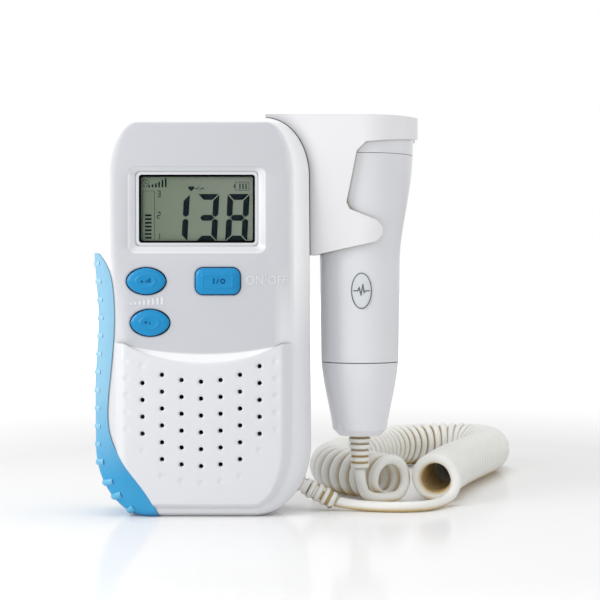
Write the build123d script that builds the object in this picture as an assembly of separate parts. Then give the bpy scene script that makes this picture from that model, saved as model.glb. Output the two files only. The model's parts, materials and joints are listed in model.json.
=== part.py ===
from build123d import *

import math
import os

# Fetal doppler monitor: a hand-sized main unit that stands on its base, a probe that hangs in a
# sleeve on the unit's right side, and a curly cord between them. Lengths are in millimetres.
# The origin is the middle of the unit's flat base, the front faces -Y and +Z is up.

# ---------------------------------------------------------------- driving dimensions: main unit
CASE_HEIGHT = 150.0
CASE_HALF_TOP = 40.4  # half width at the shoulders
CASE_HALF_LOW = 41.2  # half width just above the bottom corner, on the holder's side
CASE_HALF_GRIP = 39.6  # and on the grip's side
TOP_FLAT = 24.0  # half length of the flat top edge
SHOULDER_DROP = 22.0  # height of the round top corners
BASE_FLAT = 19.0  # half length of the flat base
CORNER_RISE = 27.0  # height of the round bottom corners
WAIST_DROP = 46.0  # from the case top to the upper end of the finger waist on the grip's side
WAIST_HEIGHT = 57.0
WAIST_DEPTH = 1.5
WALL = 2.2
REAR_Y = 18.0
PARTING_Y = -4.0
BEVEL_Y = -12.5  # depth where the front bevel starts
PANEL_Y = -16.0  # upper panel
BULGE_RISE = 2.0  # how far the lower panel stands in front of the upper one
BEVEL_SIDE = 9.0
BEVEL_TOP = 2.6
BEVEL_LOW = 3.2
EDGE_STEPS = 5  # sections that shape the round front edge
REAR_ROUND = 6.0
BULGE_RAMP = 5.0  # width of the lower panel's side slopes
BULGE_ROOT = 0.15  # how deep the slopes start inside the upper panel
BULGE_STEPS = 5
WAIST_STEPS = 4
SMILE_DROP = 84.5  # from the case top to the smile step's ends
SMILE_TOP_SAG = 2.8  # how far the step's upper edge sags in the middle
SMILE_LOW_SAG = 9.0  # and its lower edge

# display
LCD_X = -1.7
LCD_DROP = 34.2  # from the case top to the display's middle
VIEW_WIDTH = 43.6
VIEW_HEIGHT = 25.6
SURROUND_WIDTH = 52.2
SURROUND_HEIGHT = 32.6
SURROUND_DEPTH = 1.6
WINDOW_THICK = 1.0
WINDOW_LEDGE = 1.2  # how far the window overlaps the view on each side
MASK_BORDER = 0.75
LCD_THICK = 2.4
COLLAR_Y = -11.0  # rear face of the frame that carries the display

# keys
KEY_DROP = 27.2  # from the display's middle to the upper key row
KEY_STEP = 15.6  # from volume up to volume down
VOLUME_X = -20.6
VOLUME_SHIFT = 1.4  # volume down sits this much nearer the middle
POWER_X = 6.2
OVAL_KEY = (14.6, 9.9)
POWER_KEY = (16.6, 9.9)
POWER_KEY_ROUND = 2.8
KEY_GAP = 0.35
KEY_PROUD = 1.5
KEY_TRAVEL = 0.6
KEY_FLANGE = 1.0
PLUNGER_RADIUS = 2.4
PLUNGER_GAP = 0.3
DOME_HEIGHT = 1.4
MEMBRANE_THICK = 1.2

# main board
BOARD_Y = -5.0  # front face
BOARD_THICK = 1.6
BOARD_HALF = 32.0
BOARD_HEIGHT = 76.0
BOARD_DROP = 12.0  # from the case top to the board's top edge
BOARD_SCREW_INSET = 3.5
BOARD_SCREW_RISE = 4.0  # from the board's lower edge to its lower screws
CHIPS = [  # each chip's x range, its drops below the board's top edge, and its thickness
    ((-6.0, 8.0), (20.0, 34.0), 1.6),
    ((14.0, 24.0), (16.0, 26.0), 1.4),
    ((-20.0, -12.0), (38.0, 48.0), 1.4),
    ((14.0, 19.0), (36.0, 46.0), 3.2),
]
CAPACITORS = [(24.0, 42.0), (24.0, 54.0), (-2.0, 46.0)]  # x and drop below the board's top edge
CAPACITOR_RADIUS = 3.1
CAPACITOR_LENGTH = 7.0

# speaker
SPEAKER_Z = 33.0
SPEAKER_RADIUS = 22.5
FLANGE_WIDTH = 2.4
FLANGE_THICK = 1.0
GASKET_THICK = 1.0
BASKET_DEPTH = 6.5
BASKET_WALL = 0.8
LEDGE_WIDTH = 1.2  # seat of the cone's rim inside the flange
CONE_DEPTH = 4.2
CONE_THICK = 0.5
CONE_DUST_CAP = 4.0
MAGNET_RADIUS = 11.0
MAGNET_THICK = 5.0
POLE_HOLE = 4.5
HOLE_RADIUS = 0.83
HOLE_PITCH_X = 7.3
HOLE_PITCH_Z = 6.32
FIRST_HOLE_RISE = 18.0  # from the speaker's middle to the top hole of the middle column
HOLE_ROWS = 7
SIDE_HOLE_COLUMNS = 3  # hole columns on each side of the middle one
DIMPLE_ROWS = 5
DIMPLE_REACH = 3.85  # outer dimple column, in column pitches from the middle
DIMPLE_RISE = 7.5  # its top dimple above the top hole
COLUMN_CURVE = 0.65
DIMPLE_BALL = 3.6
DIMPLE_DEPTH = 0.35

# fasteners
SCREW_RADIUS = 1.2
SCREW_HEAD_RADIUS = 2.6
SCREW_HEAD_HEIGHT = 2.0
THREAD_GAP = 0.05
SCREW_GAP = 0.25  # around a screw and its head
BOSS_RADIUS = 3.1
CASE_SCREW_INSET = 7.4
CASE_SCREW_DROP = 19.0
LOW_SCREW_INSET = 10.7
LOW_SCREW_Z = 25.0
HEAD_SINK = 5.0  # depth of the screw heads' seat under the rear face
BOARD_SCREW_RADIUS = 0.8
BOARD_HEAD_RADIUS = 1.7
BOARD_HEAD_HEIGHT = 1.3
BOARD_BOSS_RADIUS = 2.3
HOLDER_SCREW_Y = -1.2

# earphone socket
JACK_DROP = 40.0
JACK_BORE = 1.8
JACK_SLEEVE = 2.9
JACK_REACH = 14.0
SOCKET_DEPTH = 6.2
SOCKET_HEIGHT = 6.4

# batteries and their door
CELL_RADIUS = 7.25
CELL_LENGTH = 50.5
NUB_RADIUS = 2.7
NUB_HEIGHT = 1.0
CELL_GAP = 0.7
BAY_LOW_Z = 11.0
BAY_FLOOR_Y = 0.1
BAY_WALL = 1.2
CONTACT_THICK = 0.5
SPRING_HEIGHT = 4.4
DOOR_THICK = 2.4
DOOR_GAP = 0.25
DOOR_PIN_RADIUS = 0.7
DOOR_PIN_GAP = 0.08

# side grip
GRIP_THICK = 1.6
GRIP_PROUD = 0.4
GRIP_BACK_Y = 8.0
GRIP_DROP = 51.0  # from the case top to the grip's upper end
GRIP_EDGE = [  # its inner edge: (distance in from the grip's side, share of the grip's height)
    (1.0, 1.0),
    (3.1, 0.972),
    (5.1, 0.932),
    (6.5, 0.86),
    (7.0, 0.765),
    (6.5, 0.645),
    (5.0, 0.49),
    (4.4, 0.4),
    (5.0, 0.325),
    (9.4, 0.219),
    (17.3, 0.112),
    (23.5, 0.0),
]
RIB_RADIUS = 1.5
RIB_PROUD = 0.5
RIB_PITCH = 6.8
RIB_DROP = 3.8  # from the grip's upper end to the first rib
CORNER_RIB_ANGLES = (13.9, 32.1, 46.6, 66.5)

# ---------------------------------------------------------------- driving dimensions: probe
PROBE_X = 60.5
PROBE_Y = 11.0
PROBE_LENGTH = 122.7  # from the tail's end to the face
HEAD_RADIUS = 20.7
HANDLE_RADIUS = 15.1
TAIL_RADIUS = 10.6
FLARE_START_GROW = 0.5
FLARE_MIDDLE_GROW = 3.0
FLARE_LOW_DROP = 55.0
FLARE_MIDDLE_DROP = 34.5
FLARE_TOP_DROP = 10.0
HEAD_CAP_HEIGHT = 13.6
TAIL_HEIGHT = 28.8
PROBE_WALL = 2.0
SEAM = 0.15
TAIL_ROUND = 2.4
NOTCH_RADIUS = 2.3  # of the pull notch at the tail's lower left
LABEL_WIDTH = 8.5
LABEL_HEIGHT = 14.3
LABEL_THICK = 0.3
LABEL_RISE = 56.6  # above the tail's end

# probe holder
HOLDER_HEIGHT = 53.2
HOLDER_ABOVE = 1.5  # above the case top
HOLDER_WALL = 2.1
HOLDER_GAP = 0.35
HOLDER_SEAM = 0.3  # between the holder's front and the front shell
HOLDER_LEFT_X = 43.2
CORD_SLOT = 14.2

# cord and its strain reliefs
CORD_RADIUS = 2.0
COIL_RADIUS = 9.9
COIL_Z = 10.0
RELIEF_BORE = 2.05
PROBE_RELIEF_LENGTH = 13.2
PROBE_RELIEF_BURIED = 4.0
PROBE_RELIEF_TOP_RADIUS = 4.1
PROBE_RELIEF_END_RADIUS = 2.8
CASE_RELIEF_END = (50.4, 0.5, 3.5)
CASE_RELIEF_DIRECTION = (0.88, -0.03, -0.47)
CASE_RELIEF_LENGTH = 24.0
CASE_RELIEF_TOP_RADIUS = 3.7
CASE_RELIEF_END_RADIUS = 2.9

# ---------------------------------------------------------------- worked-out places
SPEAKER_Y = PANEL_Y - BULGE_RISE
SPEAKER_FACE_Y = SPEAKER_Y + WALL
BASKET_Y = SPEAKER_FACE_Y + GASKET_THICK
PANEL_BACK_Y = PANEL_Y + WALL
SMILE_END_Z = CASE_HEIGHT - SMILE_DROP
WAIST_TOP_Z = CASE_HEIGHT - WAIST_DROP
WAIST_LOW_Z = WAIST_TOP_Z - WAIST_HEIGHT
GRIP_TOP_Z = CASE_HEIGHT - GRIP_DROP
BOARD_TOP_Z = CASE_HEIGHT - BOARD_DROP
BOARD_LOW_Z = BOARD_TOP_Z - BOARD_HEIGHT
LCD_Z = CASE_HEIGHT - LCD_DROP
KEY_Z = LCD_Z - KEY_DROP
BOARD_BACK_Y = BOARD_Y + BOARD_THICK
WINDOW_Y = PANEL_Y + SURROUND_DEPTH
BAY_TOP_Z = BAY_LOW_Z + CELL_LENGTH + SPRING_HEIGHT + 2 * CONTACT_THICK
BAY_HALF = 2 * CELL_RADIUS + 1.5 * CELL_GAP
CELL_X = CELL_RADIUS + CELL_GAP / 2
CELL_Y = BAY_FLOOR_Y + CELL_RADIUS + 0.1
DOOR_Y = REAR_Y - DOOR_THICK
HINGE_Y = REAR_Y - DOOR_THICK / 2
HINGE_Z = BAY_LOW_Z
HOLDER_TOP_Z = CASE_HEIGHT + HOLDER_ABOVE
HOLDER_LOW_Z = HOLDER_TOP_Z - HOLDER_HEIGHT
PROBE_TOP_Z = HOLDER_TOP_Z - 0.5
TAIL_END_Z = PROBE_TOP_Z - PROBE_LENGTH
TAIL_SEAM_Z = TAIL_END_Z + TAIL_HEIGHT
CAP_SEAM_Z = PROBE_TOP_Z - HEAD_CAP_HEIGHT
CASE_SCREWS = [
    (-CASE_HALF_TOP + CASE_SCREW_INSET, CASE_HEIGHT - CASE_SCREW_DROP),
    (CASE_HALF_TOP - CASE_SCREW_INSET, CASE_HEIGHT - CASE_SCREW_DROP),
    (-CASE_HALF_GRIP + LOW_SCREW_INSET + GRIP_THICK, LOW_SCREW_Z),
    (CASE_HALF_LOW - LOW_SCREW_INSET, LOW_SCREW_Z),
]
BOARD_SCREWS = [
    (side * (BOARD_HALF - BOARD_SCREW_INSET), z)
    for side in (-1, 1)
    for z in (BOARD_LOW_Z + BOARD_SCREW_RISE, BOARD_TOP_Z - BOARD_SCREW_INSET)
]
JACK_Y = BOARD_BACK_Y + SOCKET_DEPTH / 2
JACK_Z = CASE_HEIGHT - JACK_DROP
HOLDER_SCREW_Z = (HOLDER_LOW_Z + 6.0, HOLDER_LOW_Z + 14.0)
LCD_WIDTH = VIEW_WIDTH + 5.0
LCD_HEIGHT = VIEW_HEIGHT + 6.0
LCD_BACK_Y = COLLAR_Y + LCD_THICK
PLUNGER_BACK_Y = BOARD_Y - MEMBRANE_THICK - DOME_HEIGHT - KEY_TRAVEL - PLUNGER_GAP
FACE_RADIUS = HEAD_RADIUS - 3.1
RELIEF_END = Vector(*CASE_RELIEF_END)
RELIEF_DIRECTION = Vector(*CASE_RELIEF_DIRECTION).normalized()
RELIEF_START = RELIEF_END - RELIEF_DIRECTION * CASE_RELIEF_LENGTH


# ---------------------------------------------------------------- helpers
def front_plane(y):
    """Plane that faces the viewer at depth y, with x to the right and its own y up."""
    return Plane(origin=(0, y, 0), x_dir=(1, 0, 0), z_dir=(0, -1, 0))


def slab(outline, front, back):
    """A front-view outline as a plate between two depths."""
    return extrude(front_plane(back) * outline, amount=back - front)


def block(x, y, z):
    """A box from three (low, high) pairs."""
    size = Box(x[1] - x[0], y[1] - y[0], z[1] - z[0])
    return Pos(sum(x) / 2, sum(y) / 2, sum(z) / 2) * size


def rod(start, end, radius, end_radius=None):
    """A round bar, or a cone, between two points."""
    start, end = Vector(start), Vector(end)
    plane = Plane(origin=start, z_dir=end - start)
    length = (end - start).length
    seat = (Align.CENTER, Align.CENTER, Align.MIN)
    if end_radius is None:
        return plane * Cylinder(radius, length, align=seat)
    return plane * Cone(radius, end_radius, length, align=seat)


def rounded(width, height, radius, x=0.0, z=0.0):
    """Front-view rectangle with round corners, centred on (x, z)."""
    return Pos(x, z) * RectangleRounded(width, height, radius)


def oval(width, height, x, z):
    """Front-view ellipse centred on (x, z)."""
    return Pos(x, z) * Ellipse(width / 2, height / 2)


def save(shape, node):
    """Write one node."""
    export_step(shape, f"parts/{node}.step")


# ---------------------------------------------------------------- main unit: shells
def grip_side_x(z):
    """Where the case's grip side lies at a height between its round corners, waist included."""
    shoulder = CASE_HEIGHT - SHOULDER_DROP
    share = (z - CORNER_RISE) / (shoulder - CORNER_RISE)
    half = CASE_HALF_GRIP + (CASE_HALF_TOP - CASE_HALF_GRIP) * share
    swing = min(max((z - WAIST_LOW_Z) / WAIST_HEIGHT, 0.0), 1.0)
    return -half + WAIST_DEPTH * math.sin(math.pi * swing) ** 2


def corner_arc(half, low):
    """A round bottom corner of a front view, on the right."""
    return EllipticalCenterArc(
        (BASE_FLAT, CORNER_RISE), half - BASE_FLAT, CORNER_RISE - low, 270, arc_size=90
    )


def grip_flank(side):
    """The grip's side of a front view between its round corners, drawn in by side."""
    def at(z):
        return Vector(grip_side_x(z) + side, z)

    shoulder = CASE_HEIGHT - SHOULDER_DROP
    lower = Line(at(CORNER_RISE), at(WAIST_LOW_Z))
    upper = Line(at(WAIST_TOP_Z), at(shoulder))
    waist = [at(WAIST_LOW_Z + WAIST_HEIGHT * step / WAIST_STEPS) for step in range(WAIST_STEPS + 1)]
    return [lower, Spline(*waist, tangents=[lower % 1, upper % 0]), upper]


def case_outline(side=0.0, top=0.0, low=0.0):
    """Front view of the case, drawn in by the given amounts."""
    high, half = CASE_HEIGHT - top, CASE_HALF_TOP - side
    shoulder, low_half = CASE_HEIGHT - SHOULDER_DROP, CASE_HALF_LOW - side
    upper = EllipticalCenterArc(
        (TOP_FLAT, shoulder), half - TOP_FLAT, high - shoulder, 0, arc_size=90
    )
    flank = Line((low_half, CORNER_RISE), (half, shoulder))
    right = [corner_arc(low_half, low), flank, upper]
    grip_corner = mirror(corner_arc(CASE_HALF_GRIP - side, low), about=Plane.YZ)
    left = [grip_corner, *grip_flank(side), mirror(upper, about=Plane.YZ)]
    top_edge = Line((-TOP_FLAT, high), (TOP_FLAT, high))
    base_edge = Line((-BASE_FLAT, low), (BASE_FLAT, low))
    return make_face(Curve() + [*right, *left, top_edge, base_edge])


def bulge_outline(side, low, end_z, mid_z):
    """Front view of the raised lower panel, closed on top by the smile line."""
    half, grip_half = CASE_HALF_LOW - side, CASE_HALF_GRIP - side
    right = [corner_arc(half, low), Line((half, CORNER_RISE), (half, end_z))]
    grip_flank_edge = Line((-grip_half, CORNER_RISE), (-grip_half, end_z))
    left = [mirror(corner_arc(grip_half, low), about=Plane.YZ), grip_flank_edge]
    smile = ThreePointArc((-grip_half, end_z), (0, mid_z), (half, end_z))
    base_edge = Line((-BASE_FLAT, low), (BASE_FLAT, low))
    return make_face(Curve() + [*right, *left, smile, base_edge])


def front_form(inset, back):
    """The front half of the case without its lower bulge, drawn in by inset all round."""
    body = slab(case_outline(inset, inset, inset), BEVEL_Y, back)
    sections = []
    for step in range(EDGE_STEPS + 1):
        turn = math.radians(90 * step / EDGE_STEPS)
        share = 1 - math.cos(turn)
        depth = BEVEL_Y - (BEVEL_Y - PANEL_Y - inset) * math.sin(turn)
        insets = [inset + (width - inset) * share for width in (BEVEL_SIDE, BEVEL_TOP, BEVEL_LOW)]
        sections.append(front_plane(depth) * case_outline(*insets))
    return body + loft(sections)


def rear_form(inset, front):
    """The rear half of the case, drawn in by inset all round."""
    body = slab(case_outline(inset, inset, inset), front, REAR_Y - inset)
    rear_edges = body.faces().sort_by(Axis.Y)[-1].edges()
    return fillet(rear_edges, REAR_ROUND - inset * 0.8)


def bulge():
    """The raised lower panel: a soft S-shaped rise from the upper panel on its sides and top."""
    sections = []
    for step in range(BULGE_STEPS + 1):
        share = step / BULGE_STEPS
        rise = share**2 * (3 - 2 * share)
        side = BEVEL_SIDE + BULGE_RAMP * (share - 0.5)
        low = BEVEL_LOW + BULGE_RISE * share
        mid_z = SMILE_END_Z - SMILE_TOP_SAG - (SMILE_LOW_SAG - SMILE_TOP_SAG) * share
        depth = PANEL_Y + BULGE_ROOT - (BULGE_RISE + BULGE_ROOT) * rise
        sections.append(front_plane(depth) * bulge_outline(side, low, SMILE_END_Z, mid_z))
    return loft(sections)


def speaker_places():
    """Where the speaker perforations and the blind dimples lie: (x, z, goes through)."""
    places = []
    first = SPEAKER_Z + FIRST_HOLE_RISE
    for column in range(-SIDE_HOLE_COLUMNS, SIDE_HOLE_COLUMNS + 1):
        top = first + COLUMN_CURVE * column**2
        count = HOLE_ROWS if abs(column) < SIDE_HOLE_COLUMNS else HOLE_ROWS - 1
        for row in range(count):
            blind = row == count - 1 or (column == -SIDE_HOLE_COLUMNS and row == 0)
            places.append((column * HOLE_PITCH_X, top - row * HOLE_PITCH_Z, not blind))
    for side in (-1, 1):
        for row in range(DIMPLE_ROWS):
            z = first + DIMPLE_RISE - row * HOLE_PITCH_Z
            places.append((side * DIMPLE_REACH * HOLE_PITCH_X, z, False))
    return places


def key_outlines(grow=0.0):
    """Front views of the three keys, each grown by the given amount."""
    power_size = [size + 2 * grow for size in POWER_KEY]
    oval_size = [size + 2 * grow for size in OVAL_KEY]
    return {
        "volume_up_button": oval(*oval_size, VOLUME_X, KEY_Z),
        "volume_down_button": oval(*oval_size, VOLUME_X + VOLUME_SHIFT, KEY_Z - KEY_STEP),
        "power_button": rounded(*power_size, POWER_KEY_ROUND + grow, POWER_X, KEY_Z),
    }


KEY_CENTRES = {
    "volume_up_button": (VOLUME_X, KEY_Z),
    "volume_down_button": (VOLUME_X + VOLUME_SHIFT, KEY_Z - KEY_STEP),
    "power_button": (POWER_X, KEY_Z),
}


def grip_region():
    """Front view of the crescent that the soft grip covers on the left side."""
    edge = [(inset - CASE_HALF_GRIP, share * GRIP_TOP_Z) for inset, share in GRIP_EDGE]
    (top_x, top_z), (low_x, low_z) = edge[0], edge[-1]
    beyond = -CASE_HALF_GRIP - 9.0
    outer = Polyline((low_x, low_z), (beyond, low_z), (beyond, top_z), (top_x, top_z))
    return make_face(Curve() + [Spline(*edge), outer])


def case_form(inset):
    """The whole case without its bulge, drawn in by inset all round."""
    return front_form(inset, PARTING_Y) + rear_form(inset, PARTING_Y)


def grip_ribs():
    """Raised nubs on the grip, along the outline of the case."""
    top = GRIP_TOP_Z - RIB_DROP
    count = int((top - CORNER_RISE) / RIB_PITCH) + 1
    ribs = [(grip_side_x(top - RIB_PITCH * row), top - RIB_PITCH * row) for row in range(count)]
    for angle in CORNER_RIB_ANGLES:
        turn = math.radians(angle)
        reach = CASE_HALF_GRIP - BASE_FLAT
        ribs.append((-BASE_FLAT - reach * math.cos(turn), CORNER_RISE * (1 - math.sin(turn))))
    bars = []
    for x, z in ribs:
        inward = Vector(-BASE_FLAT - x, 0, max(CORNER_RISE, z) - z).normalized()
        centre = Vector(x, 0, z) + inward * (RIB_RADIUS - GRIP_PROUD - RIB_PROUD)
        front, back = BEVEL_Y + 1.0, GRIP_BACK_Y - 3.0
        bars.append(rod((centre.X, front, centre.Z), (centre.X, back, centre.Z), RIB_RADIUS))
    return bars


crescent = slab(grip_region(), PANEL_Y - 5.0, GRIP_BACK_Y)
grip_seat = crescent - case_form(GRIP_THICK)


def make_front_shell():
    shell = front_form(0.0, PARTING_Y) + bulge()
    shell -= front_form(WALL, PARTING_Y + 1.0)
    shell -= slab(rounded(51.0, 49.0, 12.0, 0.0, SPEAKER_Z + 1.5), SPEAKER_Y + WALL, PANEL_BACK_Y + 1)
    frame = rounded(VIEW_WIDTH + 10.0, VIEW_HEIGHT + 9.0, 2.0, LCD_X, LCD_Z)
    shell += slab(frame, PANEL_Y + 0.5, COLLAR_Y)
    for x, z in CASE_SCREWS:
        shell += rod((x, PARTING_Y, z), (x, PANEL_BACK_Y - 0.5, z), BOSS_RADIUS)
    for x, z in BOARD_SCREWS:
        shell += rod((x, BOARD_Y, z), (x, PANEL_BACK_Y - 0.5, z), BOARD_BOSS_RADIUS)
    shell -= grip_seat
    view = rounded(VIEW_WIDTH, VIEW_HEIGHT, 1.1, LCD_X, LCD_Z)
    window = rounded(
        VIEW_WIDTH + 2 * WINDOW_LEDGE, VIEW_HEIGHT + 2 * WINDOW_LEDGE, 1.5, LCD_X, LCD_Z
    )
    shell -= slab(view, PANEL_Y - 3, COLLAR_Y + 1)
    shell -= slab(window, PANEL_Y - 3, WINDOW_Y + WINDOW_THICK)
    shell -= loft(
        [
            front_plane(PANEL_Y - 0.01)
            * rounded(SURROUND_WIDTH, SURROUND_HEIGHT, 3.0, LCD_X, LCD_Z - 0.7),
            front_plane(WINDOW_Y) * rounded(
                VIEW_WIDTH + 2 * WINDOW_LEDGE, VIEW_HEIGHT + 2 * WINDOW_LEDGE, 1.5, LCD_X, LCD_Z
            ),
        ]
    )
    for outline in key_outlines(KEY_GAP).values():
        shell -= slab(outline, PANEL_Y - 3, PANEL_BACK_Y + 1)
    for x, z in CASE_SCREWS:
        shell -= rod((x, PARTING_Y + 1, z), (x, PANEL_BACK_Y, z), SCREW_RADIUS + THREAD_GAP)
    for x, z in BOARD_SCREWS:
        shell -= rod((x, BOARD_Y + 1, z), (x, PANEL_BACK_Y, z), BOARD_SCREW_RADIUS + THREAD_GAP)
    balls, holes = [], []
    for x, z, through in speaker_places():
        balls.append(Pos(x, SPEAKER_Y - DIMPLE_BALL + DIMPLE_DEPTH, z) * Sphere(DIMPLE_BALL))
        if through:
            holes.append(rod((x, SPEAKER_Y - 1, z), (x, PANEL_BACK_Y + 1, z), HOLE_RADIUS))
    return shell - balls - holes


def make_rear_shell():
    shell = rear_form(0.0, PARTING_Y) - rear_form(WALL, PARTING_Y - 1.0)
    bay_x = (-BAY_HALF - BAY_WALL, BAY_HALF + BAY_WALL)
    bay = block(bay_x, (BAY_FLOOR_Y - BAY_WALL, REAR_Y - 1), (BAY_LOW_Z - BAY_WALL, BAY_TOP_Z + BAY_WALL))
    shell += bay
    for x, z in CASE_SCREWS:
        shell += rod((x, PARTING_Y, z), (x, REAR_Y - WALL + 0.5, z), BOSS_RADIUS)
    scoop = HOLDER_GAP + HOLDER_WALL
    shell += (sleeve_form(scoop + WALL) & rear_form(0.0, PARTING_Y)) - sleeve_form(scoop)
    shell -= sleeve_form(scoop, 1.0)
    shell -= block((-BAY_HALF, BAY_HALF), (BAY_FLOOR_Y, REAR_Y + 1), (BAY_LOW_Z, BAY_TOP_Z))
    door = (-BAY_HALF - 0.6, BAY_HALF + 0.6)
    shell -= block(door, (DOOR_Y - 0.2, REAR_Y + 1), (HINGE_Z - DOOR_THICK / 2 - 0.3, BAY_TOP_Z + 2.5))
    pin = BAY_HALF + 2.2
    shell -= rod((-pin, HINGE_Y, HINGE_Z), (pin, HINGE_Y, HINGE_Z), DOOR_PIN_RADIUS + DOOR_PIN_GAP)
    for x, z in CASE_SCREWS:
        shell -= rod((x, PARTING_Y - 1, z), (x, REAR_Y, z), SCREW_RADIUS + SCREW_GAP)
        shell -= rod((x, REAR_Y - HEAD_SINK, z), (x, REAR_Y + 1, z), SCREW_HEAD_RADIUS + SCREW_GAP)
    shell -= grip_seat
    shell -= rod(
        RELIEF_START + RELIEF_DIRECTION * 2,
        RELIEF_END,
        CASE_RELIEF_TOP_RADIUS + 0.1,
    )
    left, right = -CASE_HALF_LOW - 2, CASE_HALF_LOW + 2
    shell -= rod((left, JACK_Y, JACK_Z), (-CASE_HALF_TOP + 6, JACK_Y, JACK_Z), JACK_SLEEVE + 0.1)
    for z in HOLDER_SCREW_Z:
        start, end = (CASE_HALF_TOP - 6, HOLDER_SCREW_Y, z), (right, HOLDER_SCREW_Y, z)
        shell -= rod(start, end, SCREW_RADIUS + SCREW_GAP)
    return shell


def make_side_grip():
    grip = (crescent & case_form(-GRIP_PROUD)) - case_form(GRIP_THICK)
    ribs = [bar - case_form(GRIP_THICK) for bar in grip_ribs()]
    return grip + ribs


# ---------------------------------------------------------------- main unit: display and keys
def make_lcd_window():
    plate = rounded(
        VIEW_WIDTH + 2 * WINDOW_LEDGE - 0.2, VIEW_HEIGHT + 2 * WINDOW_LEDGE - 0.2, 1.4, LCD_X, LCD_Z
    )
    return slab(plate, WINDOW_Y, WINDOW_Y + WINDOW_THICK)


def make_lcd_gasket():
    outer = rounded(VIEW_WIDTH - 0.1, VIEW_HEIGHT - 0.1, 1.05, LCD_X, LCD_Z)
    inner = rounded(VIEW_WIDTH - 2 * MASK_BORDER, VIEW_HEIGHT - 2 * MASK_BORDER, 0.8, LCD_X, LCD_Z)
    return slab(outer - inner, WINDOW_Y + WINDOW_THICK, COLLAR_Y)


def make_lcd_glass():
    glass = rounded(LCD_WIDTH, LCD_HEIGHT, 0.4, LCD_X, LCD_Z)
    return slab(glass, COLLAR_Y, LCD_BACK_Y)


def make_lcd_backlight():
    plate = rounded(LCD_WIDTH, LCD_HEIGHT - 5.0, 0.6, LCD_X, LCD_Z)
    return slab(plate, LCD_BACK_Y, BOARD_Y)


def make_lcd_connectors():
    strips = []
    for side in (-1, 1):
        z = LCD_Z + side * (LCD_HEIGHT / 2 - 1.1)
        strip = rounded(LCD_WIDTH - 4.0, 2.0, 0.3, LCD_X, z)
        strips.append(slab(strip, LCD_BACK_Y, BOARD_Y))
    return Compound(strips)


def make_main_board():
    middle = (BOARD_LOW_Z + BOARD_TOP_Z) / 2
    outline = rounded(2 * BOARD_HALF, BOARD_TOP_Z - BOARD_LOW_Z, 1.5, 0.0, middle)
    for x, z in CASE_SCREWS:
        outline -= Pos(x, z) * Circle(BOSS_RADIUS + 0.5)
    for x, z in BOARD_SCREWS:
        outline -= Pos(x, z) * Circle(BOARD_SCREW_RADIUS + 0.15)
    return slab(outline, BOARD_Y, BOARD_BACK_Y)


def make_board_components():
    parts = []
    for x, drops, tall in CHIPS:
        z = (BOARD_TOP_Z - drops[1], BOARD_TOP_Z - drops[0])
        parts.append(block(x, (BOARD_BACK_Y, BOARD_BACK_Y + tall), z))
    for x, drop in CAPACITORS:
        z = BOARD_TOP_Z - drop
        end_y = BOARD_BACK_Y + CAPACITOR_LENGTH
        parts.append(rod((x, BOARD_BACK_Y, z), (x, end_y, z), CAPACITOR_RADIUS))
    return Compound(parts)


def make_key(node):
    """One key: a crowned cap with a dished top, a flange behind the shell and a plunger."""
    flange_front = PANEL_BACK_Y + 0.3
    cap = slab(key_outlines()[node], PANEL_Y - KEY_PROUD, flange_front)
    front_edges = cap.faces().sort_by(Axis.Y)[0].edges()
    cap = fillet(front_edges, 0.9)
    flange = slab(key_outlines(KEY_FLANGE)[node], flange_front, flange_front + 1.0)
    x, z = KEY_CENTRES[node]
    dish = Pos(x, PANEL_Y - KEY_PROUD - 19.6, z) * Sphere(20.0)
    plunger = rod((x, flange_front + 0.5, z), (x, PLUNGER_BACK_Y, z), PLUNGER_RADIUS)
    return cap + flange + plunger - dish


def make_keypad_membrane():
    low, high = KEY_Z - KEY_STEP - 4.2, KEY_Z + 6.5
    sheet = rounded(44.0, high - low, 2.0, -8.0, (low + high) / 2)
    front = BOARD_Y - MEMBRANE_THICK
    membrane = slab(sheet, front, BOARD_Y)
    for x, z in KEY_CENTRES.values():
        membrane += rod((x, front + 0.2, z), (x, front - DOME_HEIGHT, z), 3.6, 2.2)
    return membrane


# ---------------------------------------------------------------- main unit: speaker

def ring_profile(points):
    """Turn an (radius, depth) outline about the speaker's axis."""
    face = make_face(Polyline(*[(radius, depth) for radius, depth in points], close=True))
    turned = revolve(Plane.XY * face, Axis.Y)
    return Pos(0, 0, SPEAKER_Z) * turned


def make_speaker_gasket():
    front, back = SPEAKER_FACE_Y, BASKET_Y
    return ring_profile(
        [
            (SPEAKER_RADIUS - FLANGE_WIDTH - 0.2, front),
            (SPEAKER_RADIUS, front),
            (SPEAKER_RADIUS, back),
            (SPEAKER_RADIUS - FLANGE_WIDTH - 0.2, back),
        ]
    )


def make_speaker_frame():
    back = BASKET_Y + BASKET_DEPTH
    return ring_profile(
        [
            (SPEAKER_RADIUS - FLANGE_WIDTH, BASKET_Y),
            (SPEAKER_RADIUS, BASKET_Y),
            (SPEAKER_RADIUS, BASKET_Y + FLANGE_THICK),
            (SPEAKER_RADIUS - FLANGE_WIDTH, BASKET_Y + FLANGE_THICK),
            (MAGNET_RADIUS + 1.0, back),
            (POLE_HOLE, back),
            (POLE_HOLE, back - BASKET_WALL),
            (MAGNET_RADIUS + 0.4, back - BASKET_WALL),
            (SPEAKER_RADIUS - FLANGE_WIDTH - LEDGE_WIDTH, BASKET_Y + CONE_THICK),
            (SPEAKER_RADIUS - FLANGE_WIDTH, BASKET_Y + CONE_THICK),
        ]
    )


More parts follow.
